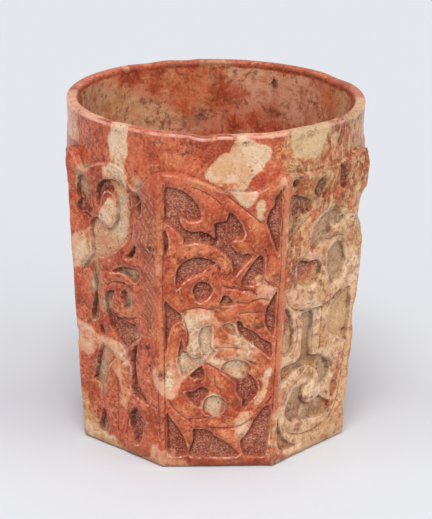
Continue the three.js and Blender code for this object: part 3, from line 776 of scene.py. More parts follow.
def neck_rings(first_row, ideal):
    """The neck and lip, row by row, starting with the columns where the panels leave them."""
    start = np.arctan2(first_row[:, 1], first_row[:, 0])
    turn = (ideal - start + math.pi) % (2 * math.pi) - math.pi
    dip = lip_dip(ideal)
    crumbled = np.exp(-(((np.degrees(ideal) + 90 - CRUMBLED_NECK) / CRUMBLED_SPAN) ** 4))
    rows = []
    for i, (radius, height) in enumerate(neck_and_lip_profile()):
        angles = start + turn * min(1, i / (NECK_ROWS - 1))
        wave = dip * ease(height, PANEL_TOP + 3, CUP_HEIGHT - 0.5)
        at = ring(radius, height, angles)
        out = NECK_SWELL * (lattice_noise(at, 6.0, seed=4) - 1) * (1 if i < NECK_ROWS else 0.5)
        out = out - NECK_CRUMBLING * crumbled * np.clip(lattice_noise(at, 2.4, seed=6), 0, 1)
        rows.append(ring(radius + out, height - wave, angles))
    return np.array(rows)


def grid_faces(first, rows, columns):
    faces = []
    for i in range(rows - 1):
        low = first + i * columns
        for j in range(columns):
            k = (j + 1) % columns
            faces.append((low + j, low + k, low + columns + k, low + columns + j))
    return faces


# What the distances say where there is no carving. Those that aren't listed are 0 there.
FAR_FROM_CARVING = {
    "into_ground": -NOT_HERE,
    "to_line": NOT_HERE,
    "to_ridge": NOT_HERE,
    "over_ledge": NOT_HERE,
}
LIP_DIP_REACH = 8
UNDERSIDE_RING = 0.6


def cup_mesh():
    panels, fields = carved_panels()
    ideal = even_angles()
    neck = neck_rings(panels[-1], ideal)
    outside = np.concatenate([panels, neck])
    half = COLUMNS // 2
    dip = lip_dip(ideal[::2])
    well = np.array([
        ring(radius, height - dip * ease(height, CUP_HEIGHT - LIP_DIP_REACH, CUP_HEIGHT), ideal[::2])
        for radius, height in well_profile()])
    inner_foot = outside[0] * (UNDERSIDE_RING, UNDERSIDE_RING, 1)

    start = outside.shape[0] * COLUMNS
    lip = start - COLUMNS
    floor_middle = start + well.shape[0] * half
    foot = floor_middle + 1
    faces = grid_faces(0, outside.shape[0], COLUMNS) + grid_faces(start, well.shape[0], half)
    for j in range(half):
        k = (j + 1) % half
        faces.append((lip + 2 * j, lip + 2 * j + 1, lip + (2 * j + 2) % COLUMNS, start + k, start + j))
        faces.append((floor_middle - half + j, floor_middle - half + k, floor_middle))
    for j in range(COLUMNS):
        k = (j + 1) % COLUMNS
        faces.append((k, j, foot + j, foot + k))
        faces.append((foot + k, foot + j, foot + COLUMNS))
    points = np.concatenate([
        outside.reshape(-1, 3), well.reshape(-1, 3), [[0, 0, FLOOR_THICKNESS]], inner_foot, [[0, 0, 0]]])

    values = {}
    for name, field in fields.items():
        values[name] = np.full(len(points), float(FAR_FROM_CARVING.get(name, 0)))
        values[name][: field.size] = field.ravel()
    profile = np.array(neck_and_lip_profile())
    run = np.concatenate([[0], np.cumsum(np.hypot(*np.diff(profile, axis=0).T))])
    values["over_lip"] = np.full(len(points), -NOT_HERE)
    values["over_lip"][len(panels) * COLUMNS:start] = np.repeat(run - run[NECK_ROWS], COLUMNS)
    values["over_lip"][start:] = NOT_HERE
    values["inside"] = np.zeros(len(points))
    values["inside"][start:foot] = 1
    values["inside"][lip:start] = 0.5
    values.update(stone_patches(points, values["inside"] == 1))
    return points, faces, values


# Patches of other colours in the red stone, by place and kind. Each is a closed outline of (across, up)
# points on a face, in millimetres, or of (degrees, up) points on the neck or in the well. It may reach past
# the face's sides. Crumbly, weathered and scratched stone is marked in the same way.

PATCHES = [
    ("tan", "neck", [
        [(24, 85), (26, 90), (28, 94), (46, 94), (44, 89), (43, 85), (39, 82), (30, 81.5), (26, 82)],
        [(54, 94), (84, 94), (84, 83.5), (60, 83.5), (56, 86), (58, 90)]]),
    ("pale", "neck", [
        [(-96, 94), (-68.4, 94), (-67.4, 88), (-66, 85), (-69, 83.6), (-84, 84), (-96, 86)],
        [(48, 82), (47.8, 85), (51, 86.4), (55, 85.8), (56, 82.4), (53, 80.4)]]),
    ("cream", "neck", [
        [(3.8, 91.5), (5.8, 92.3), (8.8, 92), (12.8, 90.5), (16.8, 89.7), (17.8, 88), (16.8, 86), (14.6, 84),
         (12.6, 82.5), (10, 80.5), (7.6, 78.3), (3.2, 77.8), (-0.6, 79.4), (-4.8, 80.6), (-6.4, 82),
         (-5.4, 84.5), (-3.2, 87), (-0.2, 88.5), (1.8, 89), (2.8, 90.5)],
        [(-44.4, 94), (-37.8, 94), (-37, 90), (-37.4, 86), (-38.6, 82.8), (-38.4, 80), (-39, 76),
         (-46, 77.6), (-48.6, 80.6), (-45.6, 82), (-45.4, 85), (-46.6, 88), (-44.6, 91)],
        [(26.4, 94), (43.6, 94), (42, 90), (40.6, 87), (38, 85.2), (32, 85.4), (27, 86.4)]]),
    ("crumbly", "neck", [[(25, 95), (60, 95), (72, 88), (72, 72), (60, 70), (52, 68), (42, 71.5), (36, 71),
        (33, 64), (34, 57), (26, 57), (25, 70), (26, 80)]]),
    ("pale", 0, [
        [(9, 54.5), (12.2, 54.8), (14.2, 52.2), (13.6, 49.2), (12, 46.6), (10.4, 47.4), (9.6, 50)],
        [(-10.2, 44.6), (-8, 45.9), (-5.6, 46), (-2.2, 45.4), (-1.4, 43.6), (0.4, 42.6), (3.2, 42.6),
         (4.4, 40), (6.4, 37.6), (9.2, 35.2), (10.4, 33), (9.6, 31), (8.6, 28.8), (7.4, 26.2), (4.6, 25.6),
         (2.6, 26.8), (0, 28.4), (-2.4, 29.6), (-4.8, 30.2), (-7, 28.6), (-9.2, 26.2), (-10.5, 22.6),
         (-12.5, 20.2), (-15.4, 21), (-17.4, 23.4), (-17, 27), (-15.2, 29.8), (-13, 31), (-11, 32),
         (-10.4, 34.4), (-9.4, 34.2), (-8.4, 36.2), (-9.2, 38.6), (-9.9, 42)],
        [(4.3, 13), (5.4, 16.4), (8, 16.6), (9.2, 14.6), (8.4, 11), (6.8, 8.2), (5, 7.4), (4.4, 9.6)],
        [(-19, 5.4), (-14.5, 4.6), (-12.4, 3.4), (-9.6, 2.4), (-8, 0.8), (-8.4, 0), (-19, 0)],
        [(-17.6, 59), (-15.4, 58.6), (-15.2, 56), (-17.6, 55.4)]]),
    ("cream", 0, [
        [(2, 78.8), (5, 78.4), (8.4, 78.2), (8.9, 77.2), (8.2, 75.8), (7, 74.1), (5.4, 74.2), (4, 75.6),
         (2.8, 77)],
        [(8.8, 75.2), (9.6, 76), (10.8, 75.4), (11, 73.4), (10.6, 72.4), (11, 70.9), (9.6, 70.6),
         (8.8, 71.6), (8.5, 73.5)],
        [(-1.6, 33.6), (2, 34.6), (5, 34.6), (8.4, 33.4), (9.4, 31.2), (6, 31.6), (2.6, 31.6), (-1, 30.4)],
        [(1.2, 42.4), (3.2, 42), (5.2, 38.6), (8, 35.6), (6.4, 35.2), (4, 37), (3, 39.4), (1.4, 40.4)],
        [(-6, 41.4), (-2.4, 41.2), (-2, 34.4), (-3.8, 31.4), (-7, 29), (-9.4, 27), (-10.8, 29.4),
         (-10.6, 33), (-7.6, 34)],
        [(-9.4, 43.6), (-7, 44.8), (-5.9, 42), (-6, 36.4), (-5.4, 33.2), (-7.8, 33), (-8.2, 36), (-9, 40)],
        [(0.6, 28.6), (1.8, 30.6), (4.6, 31.2), (7, 30.2), (6.8, 27.4), (4.4, 26), (2.2, 27.2)],
        [(13.7, 28.6), (12.3, 29), (11.6, 26), (10.8, 23), (9.4, 20.4), (9.4, 18.6), (11, 19), (12.6, 21.2),
         (13.4, 25)],
        [(-4.4, 17.4), (-3.9, 19.6), (-2, 21.2), (0.4, 20.8), (1.6, 18.8), (0.6, 16), (-1, 15),
         (-3.4, 15.6)]]),
    ("tan", 7, [[(-18, 16), (-13, 13.8), (-11.4, 9.6), (-9.6, 6), (-7.6, 4), (-2, 2.4), (-1, 0), (-18, 0)]]),
    ("olive", 7, [
        [(-8.4, 54), (-6.6, 54), (-6.2, 48), (-7.2, 44), (-7, 38), (-8, 36), (-10, 36), (-9.4, 41),
         (-8.6, 46), (-9.6, 50), (-9.8, 52.4)],
        [(-8, 28), (-5.8, 29.4), (-3.4, 28), (-5, 24.4), (-5.6, 19), (-9.4, 19), (-9.4, 23)]]),
    ("pale", 7, [
        [(-3.2, 77.4), (-2.8, 80.8), (0, 81.8), (4.4, 81), (5.6, 78.6), (5.4, 73), (5.2, 68), (4.8, 64.2),
         (3.2, 60.6), (0, 58), (-4, 55.4), (-7, 54.2), (-10, 52), (-12.4, 50.6), (-17, 50), (-17, 57),
         (-13, 60.4), (-10, 62.4), (-8.4, 65), (-5.4, 66.4), (-3.8, 68.6), (-1.8, 71.6), (-0.4, 74.4)],
        [(-17, 34.2), (-11, 34.2), (-8, 33), (-5, 32.5), (-1.6, 33), (1.4, 31), (3.4, 28.4), (3.6, 22),
         (3.2, 17.4), (1.4, 14), (0.2, 16), (-0.4, 20), (-3, 24), (-4.6, 26), (-6.4, 24.6), (-8.4, 27.8),
         (-9.4, 26), (-17, 26.4)],
        [(13.2, 29), (17, 30.6), (17, 21), (14, 22), (13, 25)],
        [(9, 1.6), (11.4, 3.6), (14.4, 5), (18, 5.4), (18, 0), (8, 0)]]),
    ("cream", 7, [
        [(-1.6, 81.4), (4.4, 80.6), (5.2, 76), (5, 66), (3, 62.6), (-1, 61), (-5, 62), (-1, 65.4), (1, 69.6),
         (0.8, 74.6), (-0.8, 78)],
        [(-6, 65.4), (-3.6, 69), (-1.2, 72.4), (0.2, 70), (0.2, 66.4), (-2, 64.2), (-4.4, 63.8)],
        [(-14.6, 52.4), (-14, 56), (-11, 58.8), (-8, 60.4), (-6.4, 58.6), (-9.8, 54), (-12, 51.4)]]),
    ("scratched", 7, [[(9.4, 78), (14.6, 76), (14.8, 58), (14, 42), (11, 38), (9.6, 46), (10.6, 54), (8, 62),
        (7.8, 70)]]),
    ("pink", 1, [[(-14, 45.6), (-11, 43.6), (-9.6, 38), (-9.4, 33), (-13.6, 31)]]),
    ("tan", 1, [
        [(-4, 70.4), (1, 71), (5, 71.6), (9, 74), (14, 75), (40, 76), (40, -1), (-5, -1), (-8, 2.4),
         (-12.6, 6), (-13.4, 12), (-12, 20), (-14.6, 30), (-12, 44), (-14.8, 50), (-7, 52.4), (-1.5, 57),
         (-4.4, 62), (-5.6, 66)],
        [(1, 74.4), (0.4, 79), (1.4, 83), (3.6, 83), (3.4, 78), (2.8, 74)]]),
    ("olive", 1, [
        [(-4.6, 63.6), (-3.4, 66.6), (0, 68.8), (4, 69.2), (8.4, 66), (8.8, 64.8), (4, 63.6), (0, 61),
         (-4.6, 58.8)],
        [(2.4, 53), (3.4, 58), (6.4, 59.6), (9.6, 57.4), (10.4, 53), (8.6, 48.8), (5.4, 46.8), (3.2, 49.6)],
        [(-12.6, 29.4), (-6, 29.6), (0, 29.4), (4, 27.4), (8.6, 25.4), (9.4, 22), (6.4, 18), (3.4, 20),
         (3, 24), (-1, 26.4), (-6, 26), (-11, 23.4), (-13, 24)],
        [(-6.8, 42.6), (-1.6, 42.4), (-1.8, 29), (-6.2, 29), (-6.2, 36)],
        [(-10.8, 15.4), (-9, 19), (-5, 20.8), (-3.4, 17), (1, 14), (6, 13.6), (8, 10.8), (3, 8.6), (-6, 10),
         (-9.8, 12)]]),
    ("pale", 1, [
        [(-13.6, 50), (-9.6, 49.8), (-6, 47), (-5.6, 44), (-9.8, 44.6), (-12.6, 47)],
        [(-9, 43), (-6.8, 41), (-5.8, 37), (-6, 31), (-8.8, 31), (-8.8, 36), (-9.6, 40)]]),
    ("cream", 1, [
        [(9.6, 46.6), (10, 50), (11.6, 53.2), (17, 54.8), (17, 48), (13, 45)],
        [(-6.4, 44.4), (-4, 43.2), (-1.6, 43), (-1.4, 45), (-3.4, 46.6), (-5.6, 46.6)],
        [(-4.6, 66.6), (-1.4, 69.6), (2.4, 70.6), (4.4, 69.8), (1.4, 69.4), (-1.4, 68), (-3.4, 66)],
        [(-0.8, 42.4), (1.4, 42.2), (1.8, 36), (1.6, 28.6), (-0.6, 28.6), (-1, 35)],
        [(-3.6, 18), (-2.2, 20.4), (0.6, 20.2), (2.8, 18.4), (3, 15.8), (0, 14.6), (-2.4, 15.6)]]),
    ("orange", 1, [
        [(-14, 60.4), (-7, 60), (-4, 57.6), (-2.4, 54), (-3, 51), (-6, 50.6), (-10, 51.6), (-14, 53)],
        [(8.4, 21), (10.8, 22), (12.6, 18), (11, 13), (8, 10.4), (5.4, 11.4), (8, 15)],
        [(-13.6, 62.6), (-12, 66.4), (-8, 69.6), (-4.6, 71), (-2.4, 70.2), (-5, 66.6), (-5.4, 62), (-3, 58),
         (-9, 58.4), (-14.6, 58)]]),
    ("weathered", 1, [[(-16, 72), (0, 72), (14, 72), (22, 70), (22, -1), (-14, -1), (-15, 20), (-15, 50)]]),
    ("pink", "well", [[(178, 93), (160, 94), (134, 93), (114, 92), (98, 88), (100, 80), (120, 76), (146, 77),
        (162, 82), (174, 88)]]),
    ("tan", "well", [
        [(252, 92), (238, 92.6), (226, 89), (214, 84.6), (200, 80), (188, 76), (190, 70), (210, 70),
         (228, 77), (242, 82), (254, 86)],
        [(120, 91), (110, 93), (98, 92), (100, 87), (110, 84), (120, 86)]]),
    ("olive", "well", [[(256, 92), (238, 92.4), (230, 88), (236, 83), (254, 85)]]),
    ("pale", "well", [[(176, 93.6), (152, 94), (130, 93), (125, 91), (134, 88.6), (150, 86.6), (166, 86),
        (174, 88.4)]]),
    ("cream", "well", [[(171, 92.8), (160, 93), (148, 91.6), (156, 89.6), (170, 89.6)]]),
    ("orange", "well", [[(177, 92), (194, 92), (197, 85), (191, 77), (181, 75), (177, 84)]]),
]

# Smaller spots of each kind in each place: the middle across and up, half the width and height in
# millimetres and, where it leans, how far it leans to the right for each millimetre up

SPOTS = [
    ("olive", "neck", [(70, 91, 3, 1.2)]),
    ("pale", "neck", [(66, 87, 6, 3), (9, 93, 5, 0.5), (20, 93, 5, 0.9), (-60, 93, 7, 0.5)]),
    ("orange", "neck", [(42.4, 83.6, 1.6, 1.6), (-20, 86.4, 3, 1.6), (23, 88, 3, 2.4)]),
    ("rust", "neck", [(51, 88.4, 2.2, 1.6), (-26, 90.4, 1, 0.7), (-12, 88.6, 0.4, 3), (-52, 89.6, 1.6, 1.4),
        (-58, 86, 2, 1, 0.4)]),
    ("dark", "neck", [(33.4, 91.9, 1.1, 0.5, 0.4), (36, 92.2, 0.6, 0.3)]),
    ("pale", 0, [(15.4, 79, 0.7, 2.6), (8.6, 53.2, 0.8, 0.6)]),
    ("cream", 0, [(-1.4, 31.8, 1.2, 1.4, 0.4), (6.6, 35.8, 2.4, 0.9, -1), (-13.4, 25.6, 1.2, 2.6),
        (6.2, 12, 0.9, 2.4, 0.2), (-5.4, 43.8, 3, 0.9)]),
    ("orange", 0, [(-13.4, 55.5, 1.2, 4.6), (-9.6, 61.8, 3.6, 1.4, 0.6), (-4, 62.4, 3, 1.1),
        (1, 58.8, 1.3, 3, -0.5), (-11.6, 49, 2.8, 1.9, -0.8), (-7.4, 47.2, 2.6, 1.2), (-7.6, 50.6, 1, 2.8),
        (-3, 47.2, 1.8, 0.9, 0.3), (-5.8, 68.6, 3.6, 1.2), (5.4, 63.4, 1.6, 1.8), (8.4, 66.6, 1.8, 4, -0.4),
        (12, 58, 1.3, 4, -0.2), (6.4, 48.8, 3.4, 0.9), (2.4, 45, 3.4, 0.9), (0.4, 38.6, 1.9, 2.5),
        (2.2, 33.4, 2.8, 1), (10.8, 31, 1.7, 2, -0.4), (7.6, 43.4, 2.8, 2.4), (8.6, 28.6, 1, 1.6),
        (-11.8, 37, 1.1, 4.6, 0.2), (0.6, 25, 2.4, 2.6, -0.3), (-8, 23.8, 1.6, 1), (-8, 17, 3.6, 1.3, -0.8),
        (0, 12.8, 4, 1.1), (-8, 9, 0.9, 4, -0.3), (2.4, 8.2, 3, 1.1, -1.1), (14.2, 9, 0.5, 5),
        (-16, 66, 0.8, 14), (-15.8, 36, 0.8, 9), (16, 62, 0.8, 16), (15.6, 34, 0.8, 12),
        (12.6, 78.6, 1.8, 1, 0.8), (-2, 79.8, 6, 0.7, -2)]),
    ("rust", 0, [(14.2, 76.2, 1, 1.3), (-0.8, 71.6, 0.5, 1), (3.8, 18, 1.2, 2.6, 0.3), (-9.6, 37.4, 0.5, 2.4),
        (8, 50.6, 1.1, 0.6), (14.6, 54.8, 0.8, 1.1), (13, 53, 1.3, 0.5, -0.6), (-4, 25, 0.6, 1.6),
        (9.4, 46.8, 0.6, 1, 0.4), (5.2, 1.2, 3.6, 0.9), (-15.6, 26.8, 0.4, 0.6), (10.2, 41.6, 1, 0.7, 0.4)]),
    ("dark", 0, [(-4.6, 66.3, 1.6, 0.7, -0.2), (-3.2, 57.6, 0.3, 0.2), (5.2, 42.2, 0.4, 0.3),
        (0.4, 27.4, 0.3, 0.3), (14.6, 38.4, 0.3, 0.4), (-8.4, 90.6, 0.3, 0.3)]),
    ("olive", 7, [(-11.4, 74, 1.6, 3.6), (-10.6, 78.4, 1.6, 1, 0.6), (9, 76, 1.4, 4), (3.6, 45, 1.6, 2.6),
        (-3.8, 42, 0.8, 3, -0.3), (5, 53.4, 3.2, 1), (-7.2, 17.6, 1.6, 1.4, 0.4), (-8.2, 6, 0.8, 3),
        (6.6, 35.4, 1, 1)]),
    ("cream", 7, [(-7, 2.6, 4, 0.9, 0.4), (-12.6, 3, 1.4, 2.4), (1.6, 27, 0.8, 3), (-12.4, 29, 2.4, 1)]),
    ("orange", 7, [(-2, 26, 2.4, 1.4, 0.5), (-3.4, 21, 1.8, 2.4, 0.2), (1.6, 21, 1.2, 5),
        (-8, 36.4, 0.7, 1.8), (-12, 16, 1.4, 4, 0.5), (14.2, 60, 0.5, 16), (2, 41.4, 3, 0.9),
        (4, 2.4, 4, 0.7)]),
    ("rust", 7, [(-3.4, 75.6, 2.2, 1.8, 0.4), (6.6, 60, 1.3, 2, 0.4), (-7.2, 75, 1.2, 3.4),
        (8.4, 73, 0.8, 3, -0.2), (-9.6, 40, 0.6, 4, 0.3)]),
    ("dark", 7, [(13.4, 62.2, 1.2, 0.6, 0.4), (14.3, 60.2, 0.4, 0.8, -0.3), (11, 34, 0.7, 0.6),
        (11.6, 29, 0.7, 0.4, 0.5), (15.2, 27, 0.4, 0.7), (0.8, 89.2, 0.3, 0.3)]),
    ("tan", 1, [(-13, 68, 1.6, 2.4, 0.4), (-7.6, 80.6, 1.2, 1), (9, 79.6, 1, 2)]),
    ("olive", 1, [(-12.8, 79.8, 2, 2.2, -0.4), (-6, 73, 2.4, 1.4, -0.6), (12.6, 71, 1.8, 2.2),
        (6.2, 81, 1, 2), (7.6, 42.4, 2, 1.6, 0.6), (14.8, 68, 1, 3)]),
    ("pale", 1, [(10.6, 25.4, 2, 3, -0.4), (2.6, 44.4, 3, 1.2)]),
    ("cream", 1, [(-3, 12.8, 0.9, 1.6, 0.4), (1.6, 61.8, 1.8, 0.5, 0.6), (5, 28.4, 2.2, 0.4, -1.4),
        (12.4, 64, 2, 0.6, -1.2)]),
    ("orange", 1, [(-4, 81, 2.4, 1.6), (-11, 84.6, 2.4, 1.6, 0.4), (-10.5, 74.6, 2.8, 1, -0.5),
        (13, 77, 1.6, 3), (4.6, 88, 2, 2.6), (-8, 78, 3, 1.5, -0.3), (2.2, 78.6, 1.6, 4), (10.4, 78, 1.4, 2),
        (10, 69.6, 2, 2.4, -0.3), (-8, 54, 2.4, 1.6, 0.4), (-11, 25.6, 1.6, 1, 0.4)]),
    ("rust", 1, [(1, 89.4, 3.4, 2.2, 0.3), (-2.4, 76.6, 1.6, 3), (6.8, 76.8, 1.5, 3.4, -0.2),
        (14.4, 78.6, 2, 3.6, 0.2), (6, 72.2, 1.3, 2.2), (11, 74.4, 1, 0.8), (-3, 84.4, 1.2, 1),
        (-12, 55, 2, 4.4), (8.6, 13.4, 1, 0.8), (-12.6, 21.6, 0.9, 1), (11, 21.2, 0.7, 0.7),
        (13.2, 32.2, 0.7, 0.5), (-11.6, 78.4, 1.3, 0.8, -0.4), (-12, 73, 2.2, 1.2, 0.4),
        (11.2, 3.8, 1.1, 0.5)]),
    ("dark", 1, [(-11.8, 78.8, 0.5, 0.3, -0.4), (10.8, 65, 0.6, 0.4), (-12.4, 21.2, 0.4, 0.4),
        (13.4, 32, 0.35, 0.3)]),
    ("pale", "well", [(156, 82, 0.9, 2.4), (200, 86, 2.4, 0.8)]),
    ("cream", "well", [(168, 91.6, 4, 0.8)]),
    ("orange", "well", [(118, 87, 5, 3), (206, 88, 5, 3, 0.5), (232, 91.6, 5, 1)]),
    ("rust", "well", [(178, 87, 1, 4.4), (172, 81.6, 4.4, 1.6), (185, 77.4, 2.6, 1.6), (228, 80.6, 4, 1, 0.6),
        (136, 86.4, 5, 0.8, 0.4), (222, 86.4, 4, 0.7, 3), (198, 76, 1, 0.7), (243, 87, 1, 2.4),
        (208, 83, 3, 0.6, -1.6), (164, 90, 3, 0.5, 2), (192, 73.6, 3, 0.8), (150, 80, 4, 1, 0.4)]),
    ("dark", "well", [(150.4, 88.2, 1.2, 1.4, 0.2), (149, 86.4, 0.7, 0.5), (184, 77.2, 0.9, 0.7)]),
]

# Patches where the photograph shows nothing, scattered from a fixed seed: the kind, how many outside and in
# the well, the smallest and largest half-width in mm, and how tall they are for their width
SCATTERED_PATCHES = [
    ("tan", 7, 6, 5.0, 12.0, 1.4), ("olive", 5, 7, 2.0, 6.0, 1.3), ("pale", 10, 6, 2.5, 6.5, 1.5),
    ("cream", 10, 2, 1.5, 4.5, 1.7), ("orange", 26, 12, 1.2, 4.0, 1.4), ("rust", 30, 16, 0.8, 3.2, 1.3),
    ("dark", 16, 6, 0.3, 0.7, 1.0),
]
SCATTER_SEED = 11
SCATTERED_CORNERS = 11
SPOT_CORNERS = 12

# Between which shares of its half-width a scattered patch's corners lie, how far it may lean, and how many
# half-widths its middle keeps from where the hidden sides end
SCATTER_REACH = (0.6, 1.25)
SCATTER_LEAN = 0.6
SCATTER_MARGIN = 1.3

# Where the hidden sides start and end in degrees round the cup, how far the front of the well reaches to
# either side, and the heights up to which the well is hidden there and elsewhere
HIDDEN_FROM, HIDDEN_TO = 84, 286
WELL_FRONT = 70
WELL_FRONT_HIDDEN_BELOW = 90
WELL_HIDDEN_BELOW = 72

# A degree round the cup is about this many millimetres of its surface.
MM_PER_DEGREE = 0.69

# How far from a patch its distance is still measured
PATCH_REACH = 4.0


def unrolled(degrees, height):
    return np.stack([np.asarray(degrees) * MM_PER_DEGREE, np.asarray(height)], axis=-1)


def on_the_roll(where, across, up):
    """A place on a face, the neck or the well, on the unrolled cup."""
    if isinstance(where, str):
        return unrolled(across, up)
    turn = where if where < FACES / 2 else where - FACES
    return unrolled(turn * 45 + np.degrees(np.arctan2(across, apothem_at(up))), up)


def turns_of(corners):
    """The directions in radians of the corners of a round outline."""
    return np.arange(corners) * 2 * math.pi / corners


def spot(where, across, up, half_width, half_height, lean=0):
    """A round or oval outline on the unrolled cup."""
    turns = turns_of(SPOT_CORNERS)
    rise = half_height * np.sin(turns)
    run = half_width * np.cos(turns) + lean * rise
    return on_the_roll(where, across, up) + np.stack([run, rise], axis=-1)


def drawn_patches():
    """Each drawn patch as its kind, whether it is in the well, and its outline on the unrolled cup."""
    patches = []
    for kind, where, drawn in PATCHES:
        outlines = [on_the_roll(where, *np.array(corners, float).T) for corners in drawn]
        patches += [(kind, where == "well", outline) for outline in outlines]
    for kind, where, spots in SPOTS:
        patches += [(kind, where == "well", spot(where, *sizes)) for sizes in spots]
    return patches


def scattered_patches():
    rng = np.random.default_rng(SCATTER_SEED)
    patches = []
    for kind, outside_count, well_count, smallest, largest, tallness in SCATTERED_PATCHES:
        for i in range(outside_count + well_count):
            in_well = i >= outside_count
            size = rng.uniform(smallest, largest)
            if in_well:
                middle = rng.uniform(-180, 180)
                in_front = abs(middle) < WELL_FRONT
                height = rng.uniform(10, WELL_FRONT_HIDDEN_BELOW if in_front else WELL_HIDDEN_BELOW)
            else:
                margin = SCATTER_MARGIN * size / MM_PER_DEGREE
                middle = rng.uniform(HIDDEN_FROM + margin, HIDDEN_TO - margin)
                height = rng.uniform(3, 92)
            turns = turns_of(SCATTERED_CORNERS)
            reach = size * rng.uniform(*SCATTER_REACH, SCATTERED_CORNERS)
            lean = rng.uniform(-SCATTER_LEAN, SCATTER_LEAN)
            up = reach * np.sin(turns) * tallness
            outline = unrolled(middle + (reach * np.cos(turns) + lean * up) / MM_PER_DEGREE, height + up)
            patches.append((kind, in_well, outline))
    return patches


def stone_patches(points, in_well):
    """How far inside the nearest patch of each kind every point lies, in millimetres."""
    degrees = np.degrees(np.arctan2(points[:, 0], -points[:, 1]))
    patches = drawn_patches() + scattered_patches()
    fields = {kind: np.full(len(points), -PATCH_REACH) for kind, _, _ in patches}
    for kind, of_well, outline in patches:
        line = smooth_line(outline, closed=True, steps=3)
        middle = (line[:, 0].min() + line[:, 0].max()) / 2 / MM_PER_DEGREE
        here = unrolled((degrees - middle + 180) % 360 - 180 + middle, points[:, 2])
        low, high = line.min(axis=0) - PATCH_REACH, line.max(axis=0) + PATCH_REACH
        close = np.all((here > low) & (here < high), axis=1) & (in_well == of_well)
        _, gap, _ = nearest_on_segments(here[close], line[:-1], line[1:])
        signed = np.where(inside_outlines(here[close], line[:-1], line[1:]), gap, -gap)
        fields[kind][close] = np.maximum(fields[kind][close], signed)
    return fields


def make_object(name, points, faces, values, material):
    mesh = bpy.data.meshes.new(name)
    mesh.from_pydata((points * MM).tolist(), [], faces)
    mesh.polygons.foreach_set("use_smooth", [True] * len(mesh.polygons))
    for key, field in values.items():
        attribute = mesh.attributes.new(key, "FLOAT", "POINT")
        attribute.data.foreach_set("value", field.astype(np.float32))
    mesh.materials.append(material)
    mesh.update()
    made = bpy.data.objects.new(name, mesh)
    bpy.context.collection.objects.link(made)
    return made


# Stone


# The darkest, usual and lightest shade of each kind of stone, as they look in sRGB.
# A kind covers the ones before it, and how soft and how ragged its edge is follows, in millimetres.
RED = ((138, 42, 24), (200, 84, 46), (232, 132, 94))
KINDS = [
    ("pink", (172, 92, 64), (220, 144, 112), (244, 194, 166), 2.4, 1.6),
    ("tan", (172, 104, 58), (220, 164, 110), (240, 204, 156), 0.9, 1.1),
    ("olive", (134, 98, 68), (190, 148, 110), (218, 184, 148), 1.0, 1.1),
    ("pale", (206, 118, 78), (234, 162, 122), (246, 198, 164), 0.4, 0.6),
    ("cream", (212, 146, 92), (236, 192, 150), (248, 222, 190), 0.3, 0.5),
    ("orange", (172, 74, 38), (214, 112, 62), (234, 152, 104), 1.2, 1.3),
    ("rust", (112, 48, 28), (160, 76, 46), (196, 112, 74), 0.7, 1.1),
    ("dark", (34, 20, 22), (64, 36, 32), (112, 66, 50), 0.2, 0.3),
]

LIGHT_KINDS = ("pink", "tan", "olive", "pale", "cream")


